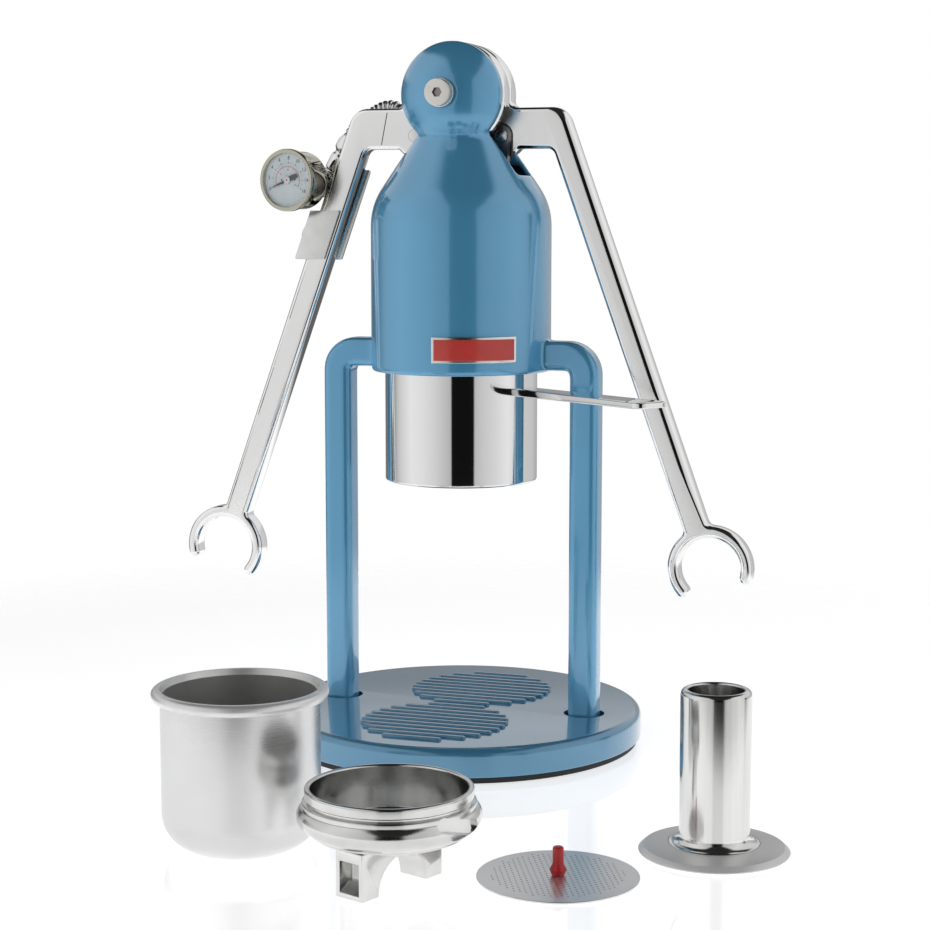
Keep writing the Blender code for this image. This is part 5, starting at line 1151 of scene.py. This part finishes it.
def spline(points, spacing):
    """Points every spacing along a smooth curve through the route."""
    ends = [points[0] * 2 - points[1]] + points + [points[-1] * 2 - points[-2]]
    fine = []
    for index in range(1, len(ends) - 2):
        a, b, c, d = ends[index - 1 : index + 3]
        for step in range(SPLINE_STEPS):
            t = step / SPLINE_STEPS
            bend = 2 * a - 5 * b + 4 * c - d
            fine.append((2 * b + (c - a) * t + bend * t**2 + (3 * b - a - 3 * c + d) * t**3) / 2)
    fine.append(points[-1])
    length = sum((b - a).length for a, b in zip(fine, fine[1:]))
    count = round(length / spacing)
    placed, walked, at = [fine[0]], 0.0, 0
    for index in range(1, count):
        goal = length * index / count
        while walked + (fine[at + 1] - fine[at]).length < goal:
            walked += (fine[at + 1] - fine[at]).length
            at += 1
        placed.append(fine[at].lerp(fine[at + 1], (goal - walked) / (fine[at + 1] - fine[at]).length))
    return placed + [fine[-1]]


def make_hose(finish, polished):
    points = spline([Vector(point) for point in HOSE_ROUTE], HOSE_PITCH / HOSE_SAMPLES)
    rings = []
    side = Vector((0, 1, 0))
    for index, point in enumerate(points):
        ahead = points[min(index + 1, len(points) - 1)] - points[max(index - 1, 0)]
        up = ahead.normalized().cross(side)
        wave = cos(2 * pi * index / HOSE_SAMPLES)
        radius = HOSE_RADIUS - HOSE_RIB * (0.5 - 0.5 * wave) ** HOSE_RIB_CREST
        turns = [2 * pi * step / HOSE_SIDES for step in range(HOSE_SIDES)]
        rings.append([point + (side * cos(turn) + up * sin(turn)) * radius for turn in turns])
    hose = smooth(loft("ribbed_hose", rings, finish), HOSE_SHARP)
    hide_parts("hose")
    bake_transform(hose)
    turn = (points[1] - points[0]).to_track_quat("Z", "Y").to_euler()
    ferrule = turned("hose_coupling", FERRULE, polished, points[0], turn, steps=SMALL_STEPS)
    fit(ferrule, "left_arm", "chrome", "hose_ferrule")


# ---- bare badge on the torso

BADGE_START = -89.7 * DEG
BADGE_SWEEP = 54.0 * DEG
BADGE_LOW = 178.5 * MM
BADGE_HIGH = 190.1 * MM
BADGE_FRAME = 1.1 * MM
BADGE_RISE = 0.9 * MM
BADGE_FIELD_RISE = 0.15 * MM
BADGE_SINK = 0.4 * MM
BADGE_EDGE = 0.3 * MM
BADGE_STEPS = 48


def make_badge(frame_finish, field):
    """A silver frame round a plain red field, bent round the torso."""
    frame_piece = ("badge_frame", 0, BADGE_RISE, frame_finish)
    field_piece = ("badge_field", BADGE_FRAME, BADGE_RISE + BADGE_FIELD_RISE, field)
    for name, inset, rise, finish in (frame_piece, field_piece):
        start = BADGE_START + inset / TORSO_RADIUS
        sweep = BADGE_SWEEP - 2 * inset / TORSO_RADIUS
        back, front = TORSO_RADIUS - BADGE_SINK, TORSO_RADIUS + rise
        low, high = BADGE_LOW + inset, BADGE_HIGH - inset
        section = ((back, low), (front, low), (front, high), (back, high))
        angles = [start + sweep * step / BADGE_STEPS for step in range(BADGE_STEPS + 1)]
        rows = [[(r * cos(angle), r * sin(angle), z) for r, z in section] for angle in angles]
        plaque = soften(loft(name, rows, finish), BADGE_EDGE, 3, 40 * DEG)
        if inset:
            fit(plaque, "body", "enamel", "badge")
        else:
            fit(plaque, "body", "steel")


# ---- loose kit

BASKET = (-26.4 * MM, -187.3 * MM, 0)
BASKET_RADIUS = 30.9 * MM
BASKET_WALL = 1.2 * MM
BASKET_HEIGHT = 63.4 * MM
BASKET_ROUND = 15.0 * MM
BASKET_RIM = 34.3 * MM
BASKET_ROLL = 2.3 * MM
BASKET_LIP = 1.2 * MM
SCREEN = (101.1 * MM, -185.6 * MM, 0)
SCREEN_RADIUS = 30.4 * MM
SCREEN_SHEET = 1.0 * MM
SCREEN_EDGE = 0.3 * MM
HOLE_FIELD = 25.0 * MM
HOLE_PITCH = 2.05 * MM
HOLE_STEP = 2.4 * MM
HOLE_RADIUS = 0.32 * MM
HOLE_SIDES = 10
HOLE_TURN = 24.7 * DEG
HOLE_RISE = 0.015 * MM
HOLE_CLEARANCE = 0.8 * MM
GRIP_RADIUS = 2.1 * MM
GRIP_COLLAR = 3.25 * MM
GRIP_ROOT = GRIP_RADIUS * 1.15
GRIP_TOP = 12.1 * MM
SPOUT = Vector((44.8 * MM, -213.0 * MM, 0))
SPOUT_TURN = 69 * DEG
SPOUT_RIM = 31.1 * MM
SPOUT_BOWL = 34.1 * MM
SPOUT_WALL = 2.2 * MM
SPOUT_TOP = 37.5 * MM
SPOUT_BELLY = 27.0 * MM
SPOUT_SHOULDER = 30.4 * MM
SPOUT_FLOOR = 15.5 * MM
SPOUT_PAN = 19.9 * MM
SPOUT_GROOVE = 0.9 * MM
SPOUT_REACH = 22.0 * MM
SPOUT_WIDTH = 13.0 * MM
SPOUT_LEG_WALL = 1.8 * MM
SPOUT_LEG_EDGE = 0.35 * MM
SPOUT_FOOT = 9.0 * MM
SPOUT_ARCH = 13.0 * MM
SPOUT_LIP = 2.0 * MM
SPOUT_LIP_TOP = SPOUT_LIP * 2.5
NOTCH_AZIMUTH = -19 * DEG
NOTCH_HEIGHT = 28.0 * MM
NOTCH_RADIUS = 2.7 * MM
NOTCH_REACH = 8.4 * MM
NOTCH_SLOPE = -14 * DEG
NOTCH_FLOOR = 30.6 * MM
NOTCH_SHARP = 28 * DEG
TAMPER = (149.2 * MM, -135.3 * MM, 0)
TAMPER_RADIUS = 29.4 * MM
TAMPER_EDGE = 1.6 * MM
TAMPER_DISC = 3.8 * MM
TAMPER_TUBE = 13.7 * MM
TAMPER_WALL = 3.0 * MM
TAMPER_HEIGHT = 64.0 * MM
TAMPER_FILLET = 4.0 * MM


def make_basket(satin, polished, inner_shade):
    inner = BASKET_RADIUS - BASKET_WALL
    top = BASKET_HEIGHT - BASKET_ROLL
    inside = [(0, BASKET_WALL, 0), (inner, BASKET_WALL, BASKET_ROUND - BASKET_WALL), (inner, top, 0)]
    outside = [(BASKET_RADIUS, top, 0), (BASKET_RADIUS, 0, BASKET_ROUND), (0, 0, 0)]
    profile = rounded(inside, closed=False) + rounded(outside, closed=False)
    cup = turned("deep_cup", profile, satin, BASKET, steps=FINE_STEPS)
    # The cup's inner faces get a darker, rougher steel; its darker colour is painted shade inside the hollow.
    cup.data.materials.append(inner_shade)
    for face in cup.data.polygons:
        if face.center.z > BASKET_WALL / 2 and face.normal.to_2d().dot(face.center.to_2d()) < 0:
            face.material_index = 1
    fit(cup, "basket", "steel", "basket")
    low = BASKET_HEIGHT - 2 * BASKET_ROLL
    roll = arc((BASKET_RIM - BASKET_ROLL, top), BASKET_ROLL, pi / 2, -pi / 2)
    roll += [(BASKET_RADIUS, low), (inner, low), (inner + BASKET_LIP, BASKET_HEIGHT)]
    fit(turned("rolled_rim", roll, polished, BASKET, ring=True, steps=FINE_STEPS), "basket", "steel")


def make_screen(steel, hole, red):
    top = SCREEN_SHEET
    profile = disc(SCREEN_RADIUS, top, 0, SCREEN_EDGE, SCREEN_EDGE)
    fit(turned("flat_screen", profile, steel, SCREEN, steps=FINE_STEPS), "screen", "steel", "screen")
    # Dark discs laid on the screen's top stand in for its holes: painted shade, no holes are cut.
    work = bmesh.new()
    rows = int(HOLE_FIELD / HOLE_PITCH)
    for row in range(-rows, rows + 1):
        x = row * HOLE_PITCH
        count = int(sqrt(HOLE_FIELD**2 - x**2) / HOLE_STEP)
        for index in range(-count, count + 1):
            y = index * HOLE_STEP + (row % 2) * HOLE_STEP / 2
            if hypot(x, y) > GRIP_COLLAR + HOLE_CLEARANCE:
                spot = Matrix.Rotation(HOLE_TURN, 3, "Z") @ Vector((x, y, top + HOLE_RISE))
                place = Matrix.Translation(Vector(SCREEN) + spot)
                bmesh.ops.create_circle(work, cap_ends=True, segments=HOLE_SIDES, radius=HOLE_RADIUS, matrix=place)
    fit(built("screen_holes", work, hole), "screen", "steel")
    low = top + 0.2 * MM
    profile = [
        (0, GRIP_TOP, 0), (GRIP_RADIUS, GRIP_TOP, 0.9 * MM), (GRIP_RADIUS, top + 4.6 * MM, 2.0 * MM),
        (GRIP_COLLAR, top + 2.4 * MM, 0.8 * MM), (GRIP_ROOT, low, FINE_EDGE), (0, low, 0),
    ]
    fit(turned("soft_grip", profile, red, SCREEN, steps=SMALL_STEPS), "screen", "silicone", "screen_grip")


def make_spout(finish):
    bore = SPOUT_RIM - SPOUT_WALL
    groove = SPOUT_SHOULDER + 1.8 * MM
    neck = SPOUT_RIM - SPOUT_GROOVE
    bead = SPOUT_RIM + SPOUT_GROOVE
    corners = [
        (0, SPOUT_PAN, 0), (bore, SPOUT_PAN, 1.5 * MM), (bore, SPOUT_TOP, 0.9 * MM),
        (SPOUT_RIM, SPOUT_TOP, 0.9 * MM), (SPOUT_RIM, groove + 1.6 * MM, 0.5 * MM),
        (neck, groove + 1.2 * MM, TINY_EDGE), (neck, groove + 0.5 * MM, TINY_EDGE),
        (bead, groove, 0.5 * MM), (bead, SPOUT_SHOULDER, FINE_EDGE),
    ]
    profile = rounded(corners, closed=False)
    drop = SPOUT_BELLY - SPOUT_FLOOR
    for x, z in arc((0, 0), SPOUT_BOWL, asin((SPOUT_SHOULDER - SPOUT_BELLY) / drop), -pi / 2)[:-1]:
        profile.append((x, SPOUT_BELLY + drop * z / SPOUT_BOWL))
    profile.append((0, SPOUT_FLOOR))
    bowl = turned("spout_bowl", profile, finish, SPOUT, steps=FINE_STEPS)
    reach, turn = SPOUT_REACH, (pi / 2, 0, SPOUT_TURN)
    top = SPOUT_FLOOR + SPOUT_WALL
    outline = [(-reach, top), (-reach, 0), (-reach + SPOUT_FOOT, 0)]
    outline += arc((0, 0), SPOUT_ARCH, pi, 0)
    outline += [(reach - SPOUT_FOOT, 0), (reach, 0), (reach, top)]
    legs = plate("spout_legs", outline, SPOUT_WIDTH, None, SPOUT, turn)
    deep, high, far = reach - SPOUT_FOOT + SPOUT_LEG_WALL, SPOUT_FLOOR - SPOUT_LEG_WALL, reach + OVERRUN
    chute = [(far, high), (deep, high), (deep, SPOUT_LIP_TOP), (reach - 1.0 * MM, SPOUT_LIP), (far, SPOUT_LIP)]
    mirrored = [(-x, z) for x, z in reversed(chute)]
    width = SPOUT_WIDTH - 2 * SPOUT_LEG_WALL
    cutters = [plate("chute", shape, width, None, SPOUT, turn) for shape in (mirrored, chute)]
    legs = combine(legs, cutters, "DIFFERENCE")
    legs.data.materials.append(finish)
    fit(soften(legs, SPOUT_LEG_EDGE, 3, 40 * DEG), "spout", "chrome")
    depth = NOTCH_FLOOR + OVERRUN
    start = SPOUT + Matrix.Rotation(NOTCH_AZIMUTH, 3, "Z") @ Vector((depth, 0, NOTCH_HEIGHT))
    slot = arc((0, NOTCH_REACH), NOTCH_RADIUS, 0, pi) + arc((0, -NOTCH_REACH), NOTCH_RADIUS, pi, 2 * pi)
    c, s = cos(NOTCH_SLOPE), sin(NOTCH_SLOPE)
    slot = [(c * x - s * y, s * x + c * y) for x, y in slot]
    notch = plate("notch", slot, 2 * OVERRUN, None, start, (0, pi / 2, NOTCH_AZIMUTH))
    bowl = smooth(combine(bowl, [notch], "DIFFERENCE"), NOTCH_SHARP)
    fit(bowl, "spout", "chrome", "spout")


def make_tamper(tube_finish, disc_finish):
    edge, root = TAMPER_DISC, TAMPER_TUBE + TAMPER_FILLET
    profile = [
        (0, edge, 0), (root, edge, 0), (TAMPER_RADIUS - 2.2 * MM, edge - 1.3 * MM, FINE_EDGE),
        (TAMPER_RADIUS, TAMPER_EDGE - 1.0 * MM, SMALL_EDGE),
        (TAMPER_RADIUS - 0.3 * MM, 0, TINY_EDGE), (0, 0, 0),
    ]
    fit(turned("tamper_disc", profile, disc_finish, TAMPER, steps=FINE_STEPS), "tamper", "steel", "tamper_base")
    bore, low = TAMPER_TUBE - TAMPER_WALL, edge - 0.2 * MM
    walls = [
        (bore, TAMPER_HEIGHT, 0.8 * MM), (TAMPER_TUBE, TAMPER_HEIGHT, 2.1 * MM),
        (TAMPER_TUBE, edge, TAMPER_FILLET - 0.2 * MM), (root, edge, 0), (root, low, 0), (bore, low, 0),
    ]
    tube = turned("tamper_tube", walls, tube_finish, TAMPER, ring=True, steps=FINE_STEPS)
    fit(tube, "tamper", "steel", "tamper_handle")


def refinish(finishes, rest):
    """Gives each CAD node its finish, for those that still show."""
    for name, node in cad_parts.items():
        node.data.materials.clear()
        node.data.materials.append(finishes.get(name, rest))
        smooth(node)


def main():
    make_studio()
    blue = paint()
    mirror = chrome()
    bright = chrome("polished_aluminium", (0.84, 0.84, 0.83), 0.05, 0.09)
    arm_metal = satin_faced("satin_aluminium", (0.93, 0.93, 0.925), 0.05, 0.25)
    nickel = chrome("warm_nickel", (0.50, 0.485, 0.40), 0.05, 0.09)
    pale = plain("pale_steel", (0.80, 0.78, 0.73), 0.3, 1.0)
    satin = lathe_steel("spun_steel", (0.72, 0.72, 0.72), 0.22, 0.30)
    sheet = plain("sheet_steel", (0.78, 0.78, 0.77), 0.2, 1.0)
    knurl = plain("knurled_steel", (0.24, 0.23, 0.22), 0.4, 1.0, strength=0.03)
    rubber = plain("black_rubber", (0.012, 0.012, 0.012), 0.6)
    red = plain("red_silicone", (0.60, 0.018, 0.024), 0.3)
    enamel = plain("red_enamel", (0.66, 0.07, 0.06), 0.18)
    brass = plain("brass", (0.75, 0.55, 0.25), 0.25, 1.0)
    face = plain("dial_face", (0.74, 0.83, 0.88), 0.45)
    ink = plain("dial_ink", (0.03, 0.034, 0.04), 0.45)
    pink = plain("dial_red_ink", (0.55, 0.05, 0.08), 0.45)
    white = plain("white_enamel", (0.8, 0.8, 0.8), 0.3)
    # Near-black discs for the screen's holes: painted shade.
    hole = plain("hole_painted_shade", (0.05, 0.05, 0.05), 0.6)
    glass = Finish("clear_glass", (1.0, 1.0, 1.0), 0.02)
    glass.set("Alpha", 0.06)
    dark = plain("dark_steel", (0.30, 0.28, 0.27), 0.3, 1.0)
    screen_metal = plain("plated_sheet", (0.90, 0.90, 0.90), 0.33, 0.85, strength=0.01, spread=0.03)
    cast = plain("cast_aluminium", (0.68, 0.68, 0.67), 0.16, 1.0)
    rim = plain("satin_rim", (0.90, 0.90, 0.89), 0.35, 0.55)
    # Darker, rougher steel for the basket's inside; the darker colour is painted shade.
    inner_shade = plain("steel_painted_inner_shade", (0.50, 0.50, 0.49), 0.42, 0.7)
    drawn = drawn_steel("drawn_steel", (0.78, 0.78, 0.77), 0.08, 0.20)
    pale_disc = plain("satin_disc", (0.86, 0.86, 0.855), 0.34, 0.3, strength=0.02, spread=0.03)
    refinish({"left_link": dark, "right_link": dark, "piston_seal": rubber, "guide_bush": brass}, sheet)
    make_casting(blue)
    # The base's enamel is the body's blue darkened to 0.66 of its brightness: painted shade.
    make_base(paint("base_enamel_painted_shade", 0.66), rubber)
    for side in (-1, 1):
        make_arm(side, arm_metal, sheet)
    make_portafilter(mirror)
    make_handle(bright)
    make_axle(pale, sheet, dark)
    # Black line on the left arm's shoulder: painted shade.
    make_painted_shade_line(rubber)
    make_gauge(nickel, knurl, glass.material, face, ink, pink, white)
    make_bracket(sheet)
    make_hose(sheet, bright)
    make_badge(sheet, enamel)
    make_basket(satin, rim, inner_shade)
    make_screen(screen_metal, hole, red)
    make_spout(cast)
    make_tamper(drawn, pale_disc)


main()
